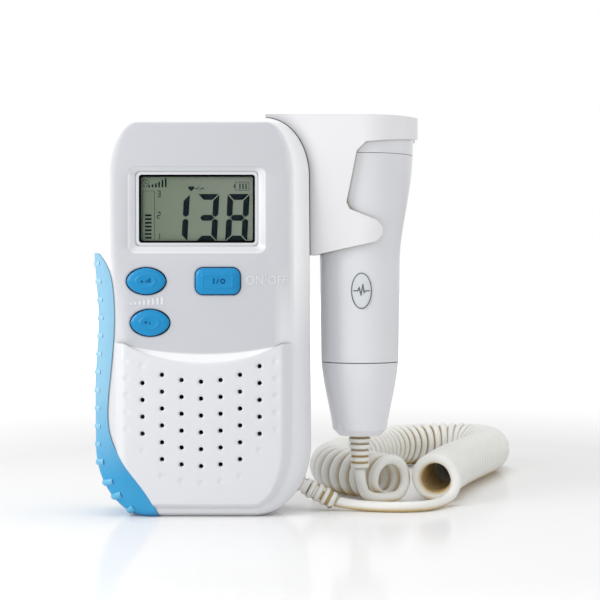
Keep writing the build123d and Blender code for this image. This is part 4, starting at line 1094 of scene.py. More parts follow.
# ---------------------------------------------------------------- cord
@dataclass(frozen=True)
class CurlyCord:
    """The curly cord: a plain lead at each end and a long coil of turns between them."""

    radius: float = 2.0 * MM
    coil_radius: float = 7.9 * MM
    coil_height: float = 10.0 * MM
    loop_radius: float = 7.4 * MM
    steps: int = 14
    extended_length: float = 3.22
    unit_lead: tuple[Point, ...] = (
        (50.4, 0.5, 3.5), (57.0, -0.6, 2.4), (64.2, -3.0, 2.1), (72.2, -4.8, 2.1), (80.4, -4.4, 2.1),
        (87.8, -0.6, 2.1), (93.4, 9.0, 2.3), (97.4, 13.2, 4.4), (99.2, 15.8, 8.6),
    )
    coil_route: tuple[Pair, ...] = (
        (91.0, 20.0), (96.5, 41.5), (103.5, 63.0), (112.0, 84.5), (120.5, 105.5), (126.0, 124.0),
        (125.5, 137.5), (118.0, 147.0), (106.0, 149.5), (92.5, 144.5), (81.0, 134.5), (73.0, 121.0),
        (67.0, 106.5), (60.5, 92.0), (54.0, 78.5), (50.4, 64.5), (51.8, 51.0), (57.6, 39.5),
        (66.0, 29.5), (74.5, 19.0),
    )
    probe_lead: tuple[Point, ...] = ((64.5, 13.4, 2.8), (61.0, 11.2, 7.2), (60.5, 11.0, 15.1))
    pitches: tuple[Pair, ...] = (
        (0.0, 4.1), (0.43, 4.1), (0.5, 4.9), (0.62, 5.1), (0.8, 5.6), (0.93, 5.8), (1.0, 5.4),
    )
    first_turn: float = 13.0
    last_turn: float = 270.0
    shared_steps: int = 4
    loose_share: float = 0.93
    smoothing: float = 5 * MM
    sway: float = 0.12 * MM
    sway_step: float = 0.37

    def pitch(self, share: float) -> float:
        """The distance between turns at a share of the coil's length."""
        for (low, first), (high, second) in zip(self.pitches, self.pitches[1:]):
            if share <= high:
                return MM * (first + (second - first) * (share - low) / (high - low))
        return MM * self.pitches[-1][1]

    def turns(self) -> list[Vector]:
        """Control points of the coil's turns, from the open ring to the loose loops."""
        flat = [Vector((x * MM, y * MM, self.coil_height)) for x, y in self.coil_route]
        path = Path(line_of(flat))
        places, distance = [0.0], 0.0
        while distance < path.length:
            distance += self.pitch(distance / path.length) / self.steps
            places.append(distance)
        end_steps = round((self.last_turn - self.first_turn) * self.steps / 360.0)
        count = (len(places) - 1 - end_steps) // self.steps * self.steps + end_steps
        places = [place * path.length / places[count] for place in places[: count + 1]]
        swell = 1.0 / math.cos(math.pi / self.steps) ** 0.5
        points = []
        for index, place in enumerate(places):
            share = place / path.length
            centre, _ = path.at(place)
            along = path.direction(place, self.smoothing)
            loose = min(max((share - self.loose_share) / (1.0 - self.loose_share), 0.0), 1.0)
            sideways = Vector((along.y, -along.x, 0.0))
            radius = self.coil_radius + (self.loop_radius - self.coil_radius) * loose
            sway = self.sway * math.sin(index * self.sway_step) * min(share * 2.0, 1.0)
            turn = math.radians(self.last_turn - (count - index) * 360.0 / self.steps)
            reach = (radius + min(sway, 0.0)) * swell
            points.append(centre + (sideways * math.cos(turn) + Vector((0, 0, 1)) * math.sin(turn)) * reach)
        return points

    def build(self) -> None:
        """Make both cords: the long one on the case, and the short one that bends up to the probe."""
        lead = [Vector(point) * MM for point in self.unit_lead]
        chain = lead + self.turns()
        tail = [Vector(point) * MM for point in self.probe_lead]
        joint = (chain[-self.shared_steps - 1] + chain[-self.shared_steps]) / 2
        self._long_cord(chain[: -self.shared_steps] + [joint])
        self._probe_cord([joint] + chain[-self.shared_steps :] + tail)

    def _long_cord(self, points: list[Vector]) -> None:
        """The unit's lead and the coil as one spline."""
        cord = spline_object("curly_cord", points, 2)
        cord.data.bevel_depth = self.radius
        cord.data.bevel_resolution = 4
        cord.data.materials.append(Finishes.get(Finishes.CORD))
        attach(cord, "case")
        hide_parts("unit_lead", "coiled_lead", "loose_turns")
        LOG.info("curly_cord: %d control points, %.3f m", len(points), Path(line_of(points, 3)).length)

    def _probe_cord(self, points: list[Vector]) -> None:
        """The last stretch up into the probe's strain relief."""
        line = line_of(list(reversed(points)), 8)
        cord = piece_from("probe_cord", tube(line, self.radius, 16), Finishes.CORD)
        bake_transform(cord)
        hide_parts("probe_lead")
        Path(line).length
        LOG.info("probe_cord: %.3f m", Path(line).length)


# ---------------------------------------------------------------- main unit
def arc_points(centre: Pair, radii: Pair, steps: int) -> list[Pair]:
    """Points of a full ellipse in the front view.

    Args:
        centre: its middle.
        radii: its half width and half height.
        steps: how many points.

    Returns:
        The (x, z) points.
    """
    turns = [2 * math.pi * step / steps for step in range(steps)]
    return [(centre[0] + radii[0] * math.cos(turn), centre[1] + radii[1] * math.sin(turn)) for turn in turns]


def rounded_points(centre: Pair, half: Pair, corner: float, steps: int = 12) -> list[Pair]:
    """Points of a rectangle with round corners in the front view.

    Args:
        centre: its middle.
        half: its half width and half height.
        corner: radius of its corners.
        steps: points on each corner.

    Returns:
        The (x, z) points.
    """
    points = []
    for quarter, (side, up) in enumerate(((1, 1), (-1, 1), (-1, -1), (1, -1))):
        for step in range(steps):
            turn = math.radians(90 * (quarter + step / (steps - 1)))
            x = centre[0] + side * (half[0] - corner) + corner * math.cos(turn)
            z = centre[1] + up * (half[1] - corner) + corner * math.sin(turn)
            points.append((x, z))
    return points


def shifted(outline: Iterable[Pair], across: float, up: float) -> list[Pair]:
    """An outline's points, shifted."""
    return [(x + across, z + up) for x, z in outline]


def frame_between(outer: Sequence[Pair], inner: Sequence[Pair]) -> list[list]:
    """Quads that fill the band between two outlines with as many points each."""
    after = [(*outer[1:], outer[0]), (*inner[1:], inner[0])]
    return [list(quad) for quad in zip(outer, after[0], after[1], inner)]


def ride_on(piece: bpy.types.Object, body: str) -> bpy.types.Object:
    """Let a piece move with a body."""
    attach(piece, body)
    LOG.info("%s: rides %s, %d faces", piece.name, body, len(piece.data.polygons))
    return piece


@dataclass(frozen=True)
class Housing:
    """The main unit's shells, its battery door and the sleeve for the probe."""

    pieces: tuple[tuple[str, Finish, float], ...] = (
        ("front_shell", Finishes.FRONT, 40.0),
        ("rear_shell", Finishes.WHITE, 24.0),
        ("battery_door", Finishes.WHITE, 24.0),
        ("probe_holder", Finishes.HOLDER, 24.0),
    )

    def build(self) -> None:
        """Show every moulded piece with smooth skins."""
        for node, finish, angle in self.pieces:
            shown_as_mesh(node, finish, angle)


@dataclass(frozen=True)
class Digit:
    """A seven-bar digit: which bars are lit, and its lower left corner."""

    bars: str
    corner: Pair


@dataclass(frozen=True)
class DigitForm:
    """The size of a seven-bar digit."""

    width: float = 8.3
    height: float = 17.9
    bar: float = 2.22
    gap: float = 0.31
    slant: float = 0.056

    def outlines(self, digit: Digit) -> list[list[Pair]]:
        """The outlines of a digit's lit bars, in millimetres."""
        wide, high, bar, gap = self.width, self.height, self.bar, self.gap
        half, middle = bar / 2, high / 2
        left_up = [(0, high - gap), (0, middle + half), (half, middle + gap), (bar, middle + half)]
        left_up.append((bar, high - bar - gap))
        left_low = [(x, high - z) for x, z in left_up]
        top = [(gap, high), (bar + gap, high - bar), (wide - bar - gap, high - bar), (wide - gap, high)]
        waist = [(half + gap, middle), (bar + gap, middle - half), (wide - bar - gap, middle - half)]
        waist += [(wide - half - gap, middle), (wide - bar - gap, middle + half), (bar + gap, middle + half)]
        forms = {
            "a": top,
            "b": [(wide - x, z) for x, z in left_up],
            "c": [(wide - x, z) for x, z in left_low],
            "d": [(x, high - z) for x, z in top],
            "e": left_low,
            "f": left_up,
            "g": waist,
        }
        x0, z0 = digit.corner
        return [[(x0 + x + z * self.slant, z0 + z) for x, z in forms[name]] for name in digit.bars]


@dataclass(frozen=True)
class Display:
    """The display: grey-green film, dark signs on it, black border and a clear window in front.

    The signs' places and sizes are in millimetres, and a box is its lowest and its highest corner.
    """

    film_y: float = -13.32 * MM
    film_back_y: float = -11.0 * MM
    ink: float = 0.06 * MM
    film_box: tuple = ((-22.75, 103.75), (19.35, 127.85))
    middle: Pair = (-1.7, 115.8)
    border_half: Pair = (21.8, 12.8)
    border_corner: float = 1.1
    corner_growth: float = 0.6
    border_width: float = 0.8
    trim_width: float = 1.1
    print_y: Pair = (-14.43 * MM, -14.39 * MM)
    digits: tuple[Digit, ...] = (
        Digit("bc", (-13.7, 103.5)),
        Digit("abcdg", (-2.6, 103.5)),
        Digit("abcdefg", (8.8, 103.5)),
    )
    scale_digits: tuple[Digit, ...] = (
        Digit("abcdg", (-16.75, 120.15)),
        Digit("abdeg", (-16.75, 112.15)),
        Digit("bc", (-16.95, 104.15)),
    )
    digit_form: DigitForm = DigitForm()
    small_form: DigitForm = DigitForm(1.3, 2.5, 0.3, 0.04, 0.0)
    signal_corner: Pair = (-20.0, 123.9)
    signal_step: float = 1.24
    signal_width: float = 0.62
    signal_heights: tuple[float, ...] = (0.75, 1.1, 1.5, 2.1, 2.8, 3.4)
    meter_bar: tuple = ((-21.3, 104.6), (-18.85, 105.32))
    meter_step: float = 1.4
    meter_bars: int = 7
    charge_bar: tuple = ((14.2, 123.2), (14.62, 125.3))
    charge_step: float = 1.15
    charge_bars: int = 3
    heart_middle: Pair = (-3.9, 123.5)
    heart_size: float = 0.072
    pulse: tuple[Pair, ...] = (
        (-2.3, 123.2), (-1.5, 123.2), (-1.1, 124.2), (-0.55, 122.3), (-0.1, 123.55), (0.4, 123.2),
        (0.9, 123.2),
    )
    pulse_height: float = 0.4
    cell_frames: tuple = (((12.6, 122.7), (17.9, 125.95)), ((12.8, 122.9), (17.7, 125.75)))
    faint_lines: tuple = (
        ((12.1, 123.6), (12.6, 125.1)),
        ((-21.35, 125.4), (-21.1, 126.4)),
        ((-21.35, 125.2), (-20.5, 125.45)),
        ((-17.86, 103.8), (-17.66, 122.4)),
        ((-22.3, 122.4), (-17.66, 122.58)),
        ((-22.3, 103.8), (-22.15, 122.4)),
    )
    round_middle: Pair = (-21.2, 125.5)
    round_radii: tuple = ((1.35, 1.45), (1.1, 1.2))

    def build(self) -> None:
        """Dress the glass, border and window, and lay the film behind the window with its signs."""
        film = [rectangle(*self.film_box)]
        film_piece = plates("display_film", film, self.film_y, self.film_back_y, Finishes.FILM)
        ride_on(film_piece, "case")
        self._printed("window_border", 0.0, -self.border_width, Finishes.INK)
        self._printed("window_trim", self.trim_width, 0.0, Finishes.TRIM)
        for node, finish in (
            ("lcd_glass", Finishes.FILM),
            ("lcd_gasket", Finishes.BLACK),
            ("lcd_window", Finishes.WINDOW),
            ("lcd_backlight", Finishes.MEMBRANE),
            ("lcd_connectors", Finishes.CONE),
        ):
            dress(node, finish)
        for name, forms, finish in (
            ("display_digits", self._digit_outlines(), Finishes.SEGMENT),
            ("display_signs", self._sign_outlines(), Finishes.SEGMENT),
            ("display_icons", self._icon_outlines(), Finishes.FAINT_SEGMENT),
        ):
            ride_on(plates(name, forms, self.film_y - self.ink, self.film_y, finish), "case")

    def _printed(self, name: str, outer: float, inner: float, finish: Finish) -> None:
        """A printed frame on the window, between two distances from the border's outer edge."""
        rings = []
        for grow in (outer, inner):
            half = (self.border_half[0] + grow, self.border_half[1] + grow)
            rings.append(rounded_points(self.middle, half, self.border_corner + grow * self.corner_growth))
        ride_on(plates(name, frame_between(*rings), *self.print_y, finish), "case")

    def _digit_outlines(self) -> list:
        """The large digits."""
        return [form for digit in self.digits for form in self.digit_form.outlines(digit)]

    def _sign_outlines(self) -> list:
        """Scale, signal bars, meter, the cell's charge, heart and pulse."""
        forms = [form for digit in self.scale_digits for form in self.small_form.outlines(digit)]
        for step, height in enumerate(self.signal_heights):
            left, low = self.signal_corner[0] + step * self.signal_step, self.signal_corner[1]
            forms.append(rectangle((left, low), (left + self.signal_width, low + height)))
        for step in range(self.meter_bars):
            forms.append(rectangle(*shifted(self.meter_bar, 0.0, step * self.meter_step)))
        for step in range(self.charge_bars):
            forms.append(rectangle(*shifted(self.charge_bar, step * self.charge_step, 0.0)))
        forms.append(self._heart())
        for (x0, z0), (x1, z1) in zip(self.pulse, self.pulse[1:]):
            forms.append([(x0, z0), (x1, z1), (x1, z1 + self.pulse_height), (x0, z0 + self.pulse_height)])
        return forms

    def _heart(self) -> list[Pair]:
        """A plain heart sign."""
        points = []
        for step in range(36):
            turn = 2 * math.pi * step / 36
            x = 16 * math.sin(turn) ** 3
            z = 13 * math.cos(turn) - 5 * math.cos(2 * turn) - 2 * math.cos(3 * turn) - math.cos(4 * turn)
            points.append((self.heart_size * x, self.heart_size * z))
        return shifted(points, *self.heart_middle)

    def _icon_outlines(self) -> list:
        """The cell's frame, the round sign and the meter's long lines, all faint."""
        forms = frame_between(*[rectangle(*box) for box in self.cell_frames])
        forms += frame_between(*[arc_points(self.round_middle, radii, 24) for radii in self.round_radii])
        forms += [rectangle(*box) for box in self.faint_lines]
        return forms


class KeyShape(Enum):
    """The outline of a key."""

    OVAL = "oval"
    ROUNDED = "rounded"


@dataclass(frozen=True)
class Key:
    """One key: a terraced cap over a skirt painted dark navy as shade in the gap round the cap, with low
    signs on its plateau.
    """

    node: str
    body: str
    centre: Pair
    half: Pair
    shape: KeyShape
    corner: float = 2.8
    corner_shrink: float = 0.8
    least_corner: float = 0.5
    lens: float = 1.1
    steps: int = 12
    profile: tuple[Pair, ...] = (
        (1.0, -15.2), (1.0, -16.45), (0.985, -16.66), (0.95, -16.86), (0.88, -17.06), (0.78, -17.22),
        (0.66, -17.33), (0.585, -17.37), (0.56, -17.4), (0.54, -17.52), (0.515, -17.56), (0.43, -17.56),
        (0.405, -17.53), (0.385, -17.46), (0.36, -17.45),
    )
    sign_y: float = -17.45
    sign_height: float = 0.1
    stroke: tuple = ((-1.7, -1.0), (-1.2, 1.0))
    slash: tuple[Pair, ...] = ((-0.5, -0.9), (-0.15, -0.9), (0.5, 0.9), (0.15, 0.9))
    ring_middle: Pair = (1.9, 0.0)
    ring_radii: tuple[Pair, ...] = ((0.95, 1.0), (0.5, 0.55))
    arrow: tuple[Pair, ...] = ((-2.1, -0.55), (-0.9, -0.55), (-1.5, 0.55))
    level_corner: Pair = (-0.2, -0.5)
    level_step: float = 0.75
    level_width: float = 0.4
    levels: tuple[float, ...] = (0.7, 1.2, 1.7)
    skirt: tuple[Pair, ...] = ((0.3, -16.0), (0.3, -13.6), (0.95, -13.4), (0.95, -12.6), (-0.9, -12.5))
    plunger: Pair = (-13.0, -8.6)
    plunger_radius: float = 2.35

    def ring(self, share: float, grow: float = 0.0) -> list[Pair]:
        """The outline at a share of the key's size, in millimetres."""
        x0, z0 = self.centre
        wide, high = self.half
        if self.shape is KeyShape.OVAL:
            wide, high = wide * share + grow, high * share + grow
            unit = arc_points((0.0, 0.0), (1.0, 1.0), 4 * self.steps)
            pointed = [tuple(math.copysign(abs(part) ** self.lens, part) for part in point) for point in unit]
            return [(x0 + wide * x, z0 + high * z) for x, z in pointed]
        inset = (1 - share) * high - grow
        corner = max(self.corner - inset * self.corner_shrink, self.least_corner)
        return rounded_points(self.centre, (wide - inset, high - inset), corner, self.steps)

    def build(self) -> None:
        """Make the key and its signs."""
        build = bmesh.new()
        bridge(build, [self._corners(build, share, 0.0, y) for share, y in self.profile])
        tidy_normals(build, 50.0)
        cap = piece_from(f"{self.body}_cap", mesh_from(self.node, build), Finishes.KEY)
        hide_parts(self.node)
        skirt = piece_from(f"{self.body}_skirt", self._skirt(), Finishes.KEY_SHADE)
        front, back = (self.sign_y - self.sign_height) * MM, self.sign_y * MM
        signs = plates(f"{self.body}_signs", self.signs(), front, back, Finishes.KEY_MARK)
        for piece in (cap, skirt, signs):
            ride_on(piece, self.body)

    def _corners(self, build: bmesh.types.BMesh, share: float, grow: float, y: float) -> list:
        """The outline's corners at a depth, in a mesh."""
        return [build.verts.new((x * MM, y * MM, z * MM)) for x, z in self.ring(share, grow)]

    def _skirt(self) -> bpy.types.Mesh:
        """The skirt, painted dark navy as shade in the gap round the cap, with the flange and plunger that
        work behind the shell.
        """
        build = bmesh.new()
        bridge(build, [self._corners(build, 1.0, grow, y) for grow, y in self.skirt])
        x, z = self.centre
        flat = Vector((1.0, 0.0, 0.0)), Vector((0.0, 0.0, 1.0)), self.plunger_radius * MM, 24
        bridge(build, [wheel(build, Vector((x, y, z)) * MM, *flat) for y in self.plunger])
        tidy_normals(build, 40.0)
        return mesh_from("skirt", build)

    def signs(self) -> list[list[Pair]]:
        """The outlines of the low signs, in millimetres."""
        if self.shape is KeyShape.ROUNDED:
            ring = [arc_points(self.ring_middle, radii, 24) for radii in self.ring_radii]
            forms = [rectangle(*self.stroke), self.slash, *frame_between(*ring)]
        else:
            rising = self.body == "volume_up"
            forms = [[(x, z if rising else -z) for x, z in self.arrow]]
            x, z = self.level_corner
            for step, height in enumerate(self.levels if rising else self.levels[:1]):
                left = x + step * self.level_step
                forms.append(rectangle((left, z), (left + self.level_width, z + height)))
        return [shifted(form, *self.centre) for form in forms]


@dataclass(frozen=True)
class FrontMarks:
    """Low raised marks on the upper panel: a growing row of bars and the power key's two words."""

    panel_y: float = -16.0
    height: float = 0.16
    sunk: float = 0.1
    bars: int = 8
    bars_low: Pair = (-26.9, 79.8)
    bars_high: Pair = (-13.5, 82.8)
    least_bar: float = 0.7
    bar_share: float = 0.62
    words: str = "ON/OFF"
    words_low: Pair = (16.9, 87.3)
    words_high: Pair = (32.3, 90.7)

    def build(self) -> None:
        """Make both marks."""
        (left, low), (right, high) = self.bars_low, self.bars_high
        step = (right - left) / self.bars
        forms = []
        for index in range(self.bars):
            start = left + index * step
            top = low + self.least_bar + (high - low - self.least_bar) * index / (self.bars - 1)
            forms.append(rectangle((start, low), (start + self.bar_share * step, top)))
        front, back = (self.panel_y - self.height) * MM, (self.panel_y + self.sunk) * MM
        ride_on(plates("volume_bars", forms, front, back, Finishes.RAISED), "case")
        words = piece_from("power_words", self._word_mesh(front, back), Finishes.RAISED)
        ride_on(words, "case")

    def _word_mesh(self, front: float, back: float) -> bpy.types.Mesh:
        """The words as a solid mesh that fills their place."""
        data = bpy.data.curves.new("words", "FONT")
        data.body = self.words
        data.extrude = 0.5
        data.resolution_u = 3
        text = new_object("words", data)
        mesh = curve_mesh(text)
        bpy.data.objects.remove(text)
        build = bmesh.new()
        build.from_mesh(mesh)
        xs = [corner.co.x for corner in build.verts]
        ys = [corner.co.y for corner in build.verts]
        low, high = Vector(self.words_low) * MM, Vector(self.words_high) * MM
        for corner in build.verts:
            across = (corner.co.x - min(xs)) / (max(xs) - min(xs))
            up = (corner.co.y - min(ys)) / (max(ys) - min(ys))
            depth = front if corner.co.z > 0 else back
            corner.co = (low.x + (high.x - low.x) * across, depth, low.y + (high.y - low.y) * up)
        bmesh.ops.remove_doubles(build, verts=build.verts, dist=0.0005 * MM)
        bmesh.ops.recalc_face_normals(build, faces=build.faces)
        shade_by_angle(build, 40.0)
        return mesh_from("words", build)


@dataclass(frozen=True)
class SideGrip:
    """The soft grip on the left flank, with a row of ridges that roll over onto the front."""

    half_low: float = 39.6
    half_top: float = 40.4
    shoulder: float = 128.0
    base_flat: float = 19.0
    corner_rise: float = 27.0
    waist_low: float = 47.0
    waist_height: float = 57.0
    waist_depth: float = 1.5
    bevel_y: float = -12.5
    bevel_depth: float = 3.5
    bevel_side: float = 9.0
    bevel_low: float = 3.2
    first_ridge: float = 95.2
    pitch: float = 6.8
    straight_ridges: int = 11
    corner_angles: tuple[float, ...] = (13.9, 32.1, 46.6, 66.5)
    girth: float = 1.5
    sunk: float = 0.62
    corner_swell: float = 0.4
    side_limit: float = -40.7
    back_end: float = 4.7
    heel: tuple[Pair, ...] = ((0.0, 0.3), (0.5, 0.75), (1.5, 1.0))
    steps: int = 8
    reach: float = 30.0
    corner_reach: float = 26.0
    reach_angle: float = 40.0
    dive: float = 0.25
    taper: float = 0.45
    tip_length: float = 0.35
    tip_girth: float = 0.55

    def build(self) -> None:
        """Show the grip and run its ridges."""
        shown_as_mesh("side_grip", Finishes.GRIP)
        places = [self.first_ridge - self.pitch * index for index in range(self.straight_ridges)]
        chains = [self._straight(place) for place in places]
        chains += [self._corner(math.radians(angle)) for angle in self.corner_angles]
        ridges = self._ridges(chains)
        ride_on(ridges, "case")

    def _side_x(self, z: float) -> float:
        """Where the case's side lies at a height, finger waist included."""
        share = (z - self.corner_rise) / (self.shoulder - self.corner_rise)
        swing = min(max((z - self.waist_low) / self.waist_height, 0.0), 1.0)
        waist = self.waist_depth * math.sin(math.pi * swing) ** 2
        return waist - self.half_low - (self.half_top - self.half_low) * share

    def _outline(self, z: float, angle: float, inset: float) -> tuple[Vector, Vector]:
        """A point of the case's outline at a bevel share, and the way outwards there."""
        side, low = self.bevel_side * inset, self.bevel_low * inset
        if angle <= 0:
            return Vector((self._side_x(z) + side, 0.0, z)), Vector((-1.0, 0.0, 0.0))
        wide, high = self.half_low - self.base_flat, self.corner_rise
        x = -self.base_flat - (wide - side) * math.cos(angle)
        place = Vector((x, 0.0, high - (high - low) * math.sin(angle)))
        return place, Vector((-math.cos(angle) / wide, 0.0, -math.sin(angle) / high)).normalized()

    def _chain(self, z: float, angle: float, reach: float) -> list[tuple[Vector, float]]:
        """The middle line of a ridge from its back end to its front tip, with its girth at each point."""
        line = []
        swell = self.corner_swell if angle > 0 else 0.0
        sunk = self.sunk - swell
        edge, outwards = self._outline(z, angle, 0.0)
        for ahead, girth in self.heel:
            line.append((edge - outwards * sunk + Vector((0.0, self.back_end - ahead, 0.0)), girth))
        for step in range(self.steps + 1):
            share = step / self.steps
            turn = math.radians(reach) * share
            place, _ = self._outline(z, angle, 1 - math.cos(turn))
            place.y = self.bevel_y - self.bevel_depth * math.sin(turn)
            normal = outwards * math.cos(turn) ** 1.5 + Vector((0.0, -1.0, 0.0)) * math.sin(turn) ** 0.6
            depth = sunk + self.dive * share
            taper = 1.0 + swell - self.taper * share**4
            line.append((place - normal.normalized() * depth, taper))
        tip, girth = line[-1]
        ahead = (tip - line[-2][0]).normalized()
        line.append((tip + ahead * self.tip_length, girth * self.tip_girth))
        for place, girth in line:
            place.x = max(place.x, self.side_limit + self.girth * girth)
        return line

    def _straight(self, z: float) -> list[tuple[Vector, float]]:
        """A ridge on the straight flank."""
        return self._chain(z, 0.0, self.reach)

    def _corner(self, angle: float) -> list[tuple[Vector, float]]:
        """A longer ridge round the lower corner."""
        share = min(math.degrees(angle) / self.reach_angle, 1.0)
        return self._chain(0.0, angle, self.reach + self.corner_reach * share)

    def _ridges(self, chains: Sequence[Sequence[tuple[Vector, float]]]) -> bpy.types.Object:
        """Round bars along the chains, as geometry nodes make them."""
        recipe = Recipe("grip_ridges")
        girth = recipe.size("Girth")
        curve = recipe.node("GeometryNodeMeshToCurve", inputs={"Mesh": recipe.entry.outputs[0]})
        share = recipe.node("GeometryNodeInputNamedAttribute", {"data_type": "FLOAT"}, {"Name": "girth"})
        sized = recipe.node(
            "GeometryNodeSetCurveRadius", inputs={"Curve": curve.outputs[0], "Radius": share.outputs[0]}
        )
        ring = recipe.node("GeometryNodeCurvePrimitiveCircle", inputs={"Resolution": 14, "Radius": girth})
        bars = recipe.node(
            "GeometryNodeCurveToMesh",
            inputs={"Curve": sized.outputs[0], "Profile Curve": ring.outputs[0], "Fill Caps": True},
        )
        recipe.finish(bars.outputs[0], Finishes.GRIP_RIDGE)
        base = bpy.data.meshes.new("ridge_lines")
        points, edges, shares = [], [], []
        for chain in chains:
            for index, (place, share_here) in enumerate(chain):
                if index:
                    edges.append((len(points) - 1, len(points)))
                points.append(tuple(place * MM))
                shares.append(share_here)
        base.from_pydata(points, edges, [])
        base.attributes.new("girth", "FLOAT", "POINT").data.foreach_set("value", shares)
        return bake("grip_ridges", base, recipe, {"Girth": self.girth * MM}, 60.0)


@dataclass(frozen=True)
class CaseFasteners:
    """The four screws in the back of the unit."""

    seats: tuple[Pair, ...] = ((-33.0, 131.0), (33.0, 131.0), (-27.3, 25.0), (30.5, 25.0))
    seat_y: float = 13.0
    head_radius: float = 2.6 * MM
    head_height: float = 1.9 * MM
    shank_radius: float = 1.2 * MM
    shank_length: float = 24.6 * MM
    recess: Point = (3.0 * MM, 0.75 * MM, 2.0 * MM)
    below: float = 10 * MM

    def build(self) -> None:
        """Place the screws with geometry nodes."""
        recipe = Recipe("cross_screws")
        radius, height = recipe.size("Head Radius"), recipe.size("Head Height")
        thin, length = recipe.size("Shank Radius"), recipe.size("Shank Length")
        dome = recipe.node("GeometryNodeMeshUVSphere", inputs={"Segments": 32, "Rings": 16, "Radius": 1.0})
        domed = recipe.node(
            "GeometryNodeTransform",
            inputs={"Geometry": dome.outputs[0], "Scale": recipe.vector(radius, radius, height)},
        )
        lower = recipe.node("GeometryNodeMeshCube", inputs={"Size": (2 * self.below,) * 3})
        long, narrow, deep = self.recess
        bars = [
            recipe.node("GeometryNodeMeshCube", inputs={"Size": size})
            for size in ((long, narrow, deep), (narrow, long, deep))
        ]
        recess = recipe.joined(*[recipe.raised(bar.outputs[0], self.head_height) for bar in bars])
        cut = recipe.node("GeometryNodeMeshBoolean", {"operation": "DIFFERENCE"})
        recipe.tree.links.new(domed.outputs[0], cut.inputs["Mesh 1"])
        recipe.tree.links.new(recipe.raised(lower.outputs[0], -self.below), cut.inputs["Mesh 2"])
        recipe.tree.links.new(recess, cut.inputs["Mesh 2"])
        shank = recipe.node(
            "GeometryNodeMeshCylinder", inputs={"Vertices": 20, "Radius": thin, "Depth": length}
        )
        drop = recipe.node("ShaderNodeMath", {"operation": "MULTIPLY"}, {0: length, 1: -0.5})
        body = recipe.joined(cut.outputs[0], recipe.raised(shank.outputs[0], drop.outputs[0]))
        recipe.on_points(body, Finishes.STEEL)
        sizes = {
            "Head Radius": self.head_radius,
            "Head Height": self.head_height,
            "Shank Radius": self.shank_radius,
            "Shank Length": self.shank_length,
        }
        turn = turn_towards(Vector((0.0, 1.0, 0.0)))
        seats = [Seat((x * MM, self.seat_y * MM, z * MM), turn) for x, z in self.seats]
        screws = repeat("cross_screws", recipe, sizes, seats, 35.0)
        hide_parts("case_screws")
        ride_on(screws, "case")
        dress("board_screws", Finishes.STEEL)
        dress("holder_screws", Finishes.STEEL)


@dataclass(frozen=True)
class Insides:
    """What works inside the case and the probe: each solid keeps its shape and gets its finish."""

    finishes: tuple[tuple[str, Finish], ...] = (
        ("main_board", Finishes.BOARD),
        ("probe_board", Finishes.BOARD),
        ("board_components", Finishes.CHIP),
        ("keypad_membrane", Finishes.MEMBRANE),
        ("speaker_gasket", Finishes.BLACK),
        ("speaker_frame", Finishes.STEEL),
        ("speaker_cone", Finishes.CONE),
        ("speaker_magnet", Finishes.MAGNET),
        ("batteries", Finishes.CELL),
        ("battery_springs", Finishes.STEEL),
        ("battery_contacts", Finishes.STEEL),
        ("earphone_socket", Finishes.CHIP),
        ("transducer_discs", Finishes.CERAMIC),
        ("transducer_backing", Finishes.RESIN),
        ("cable_clamp", Finishes.RELIEF),
    )

    def build(self) -> None:
        """Dress every inner solid."""
        for node, finish in self.finishes:
            dress(node, finish)
        LOG.info("insides: %d solids dressed", len(self.finishes))


# ---------------------------------------------------------------- probe
@dataclass(frozen=True)
class Probe:
    """The probe: housing, caps, contact face, strain reliefs and the small oval plate, in millimetres."""

    pieces: tuple[tuple[str, Finish, float], ...] = (
        ("probe_housing", Finishes.PROBE_WHITE, 24.0),
        ("probe_head_cap", Finishes.PROBE_WHITE, 24.0),
        ("probe_tail_cap", Finishes.TAIL_WHITE, 24.0),
        ("probe_face", Finishes.FACE, 24.0),
        ("probe_label", Finishes.LABEL, 24.0),
        ("probe_strain_relief", Finishes.RELIEF, 40.0),
        ("case_strain_relief", Finishes.RELIEF, 40.0),
    )
    axis: Pair = (60.5, 11.0)
    handle_radius: float = 15.46
    label_height: float = 84.9
    label_half: Pair = (4.25, 7.15)
    label_rise: float = 0.46
    mark_depth: float = 0.3
    ring_insets: Pair = (0.25, 0.6)
    pulse: tuple[Pair, ...] = (
        (-3.0, 0.0), (-1.5, 0.0), (-0.9, 1.3), (-0.2, -1.6), (0.5, 2.4), (1.0, -0.7), (1.5, 0.0), (3.0, 0.0)
    )
    pulse_half: float = 0.18

    def build(self) -> None:
        """Show the moulded pieces and lay the marks on the plate."""
        for node, finish, angle in self.pieces:
            shown_as_mesh(node, finish, angle)
        ride_on(self._marks(), "probe")

    def _wrapped(self, across: float, up: float, rise: float) -> Vector:
        """A point on the handle: across its front, up from the plate's middle, at a rise above the skin."""
        reach = self.handle_radius + rise
        turn = across / reach
        x, y = self.axis
        return Vector((x + reach * math.sin(turn), y - reach * math.cos(turn), self.label_height + up)) * MM

    def _marks(self) -> bpy.types.Object:
        """A ring near the plate's edge and a plain pulse line across it."""
        wide, high = self.label_half
        quads = frame_between(*[arc_points((0.0, 0.0), (wide - i, high - i), 72) for i in self.ring_insets])
        for start, end in zip(self.pulse, self.pulse[1:]):
            run = (Vector(end) - Vector(start)).normalized() * self.pulse_half
            side = Vector((-run.y, run.x))
            low, top = Vector(start) - run, Vector(end) + run
            quads.append([low + side, top + side, top - side, low - side])
        build = bmesh.new()
        rises = self.label_rise, self.label_rise - self.mark_depth
        for quad in quads:
            bridge(build, [[build.verts.new(self._wrapped(x, z, rise)) for x, z in quad] for rise in rises])
        bmesh.ops.recalc_face_normals(build, faces=build.faces)
        return piece_from("probe_plate_marks", mesh_from("marks", build), Finishes.LABEL_INK)


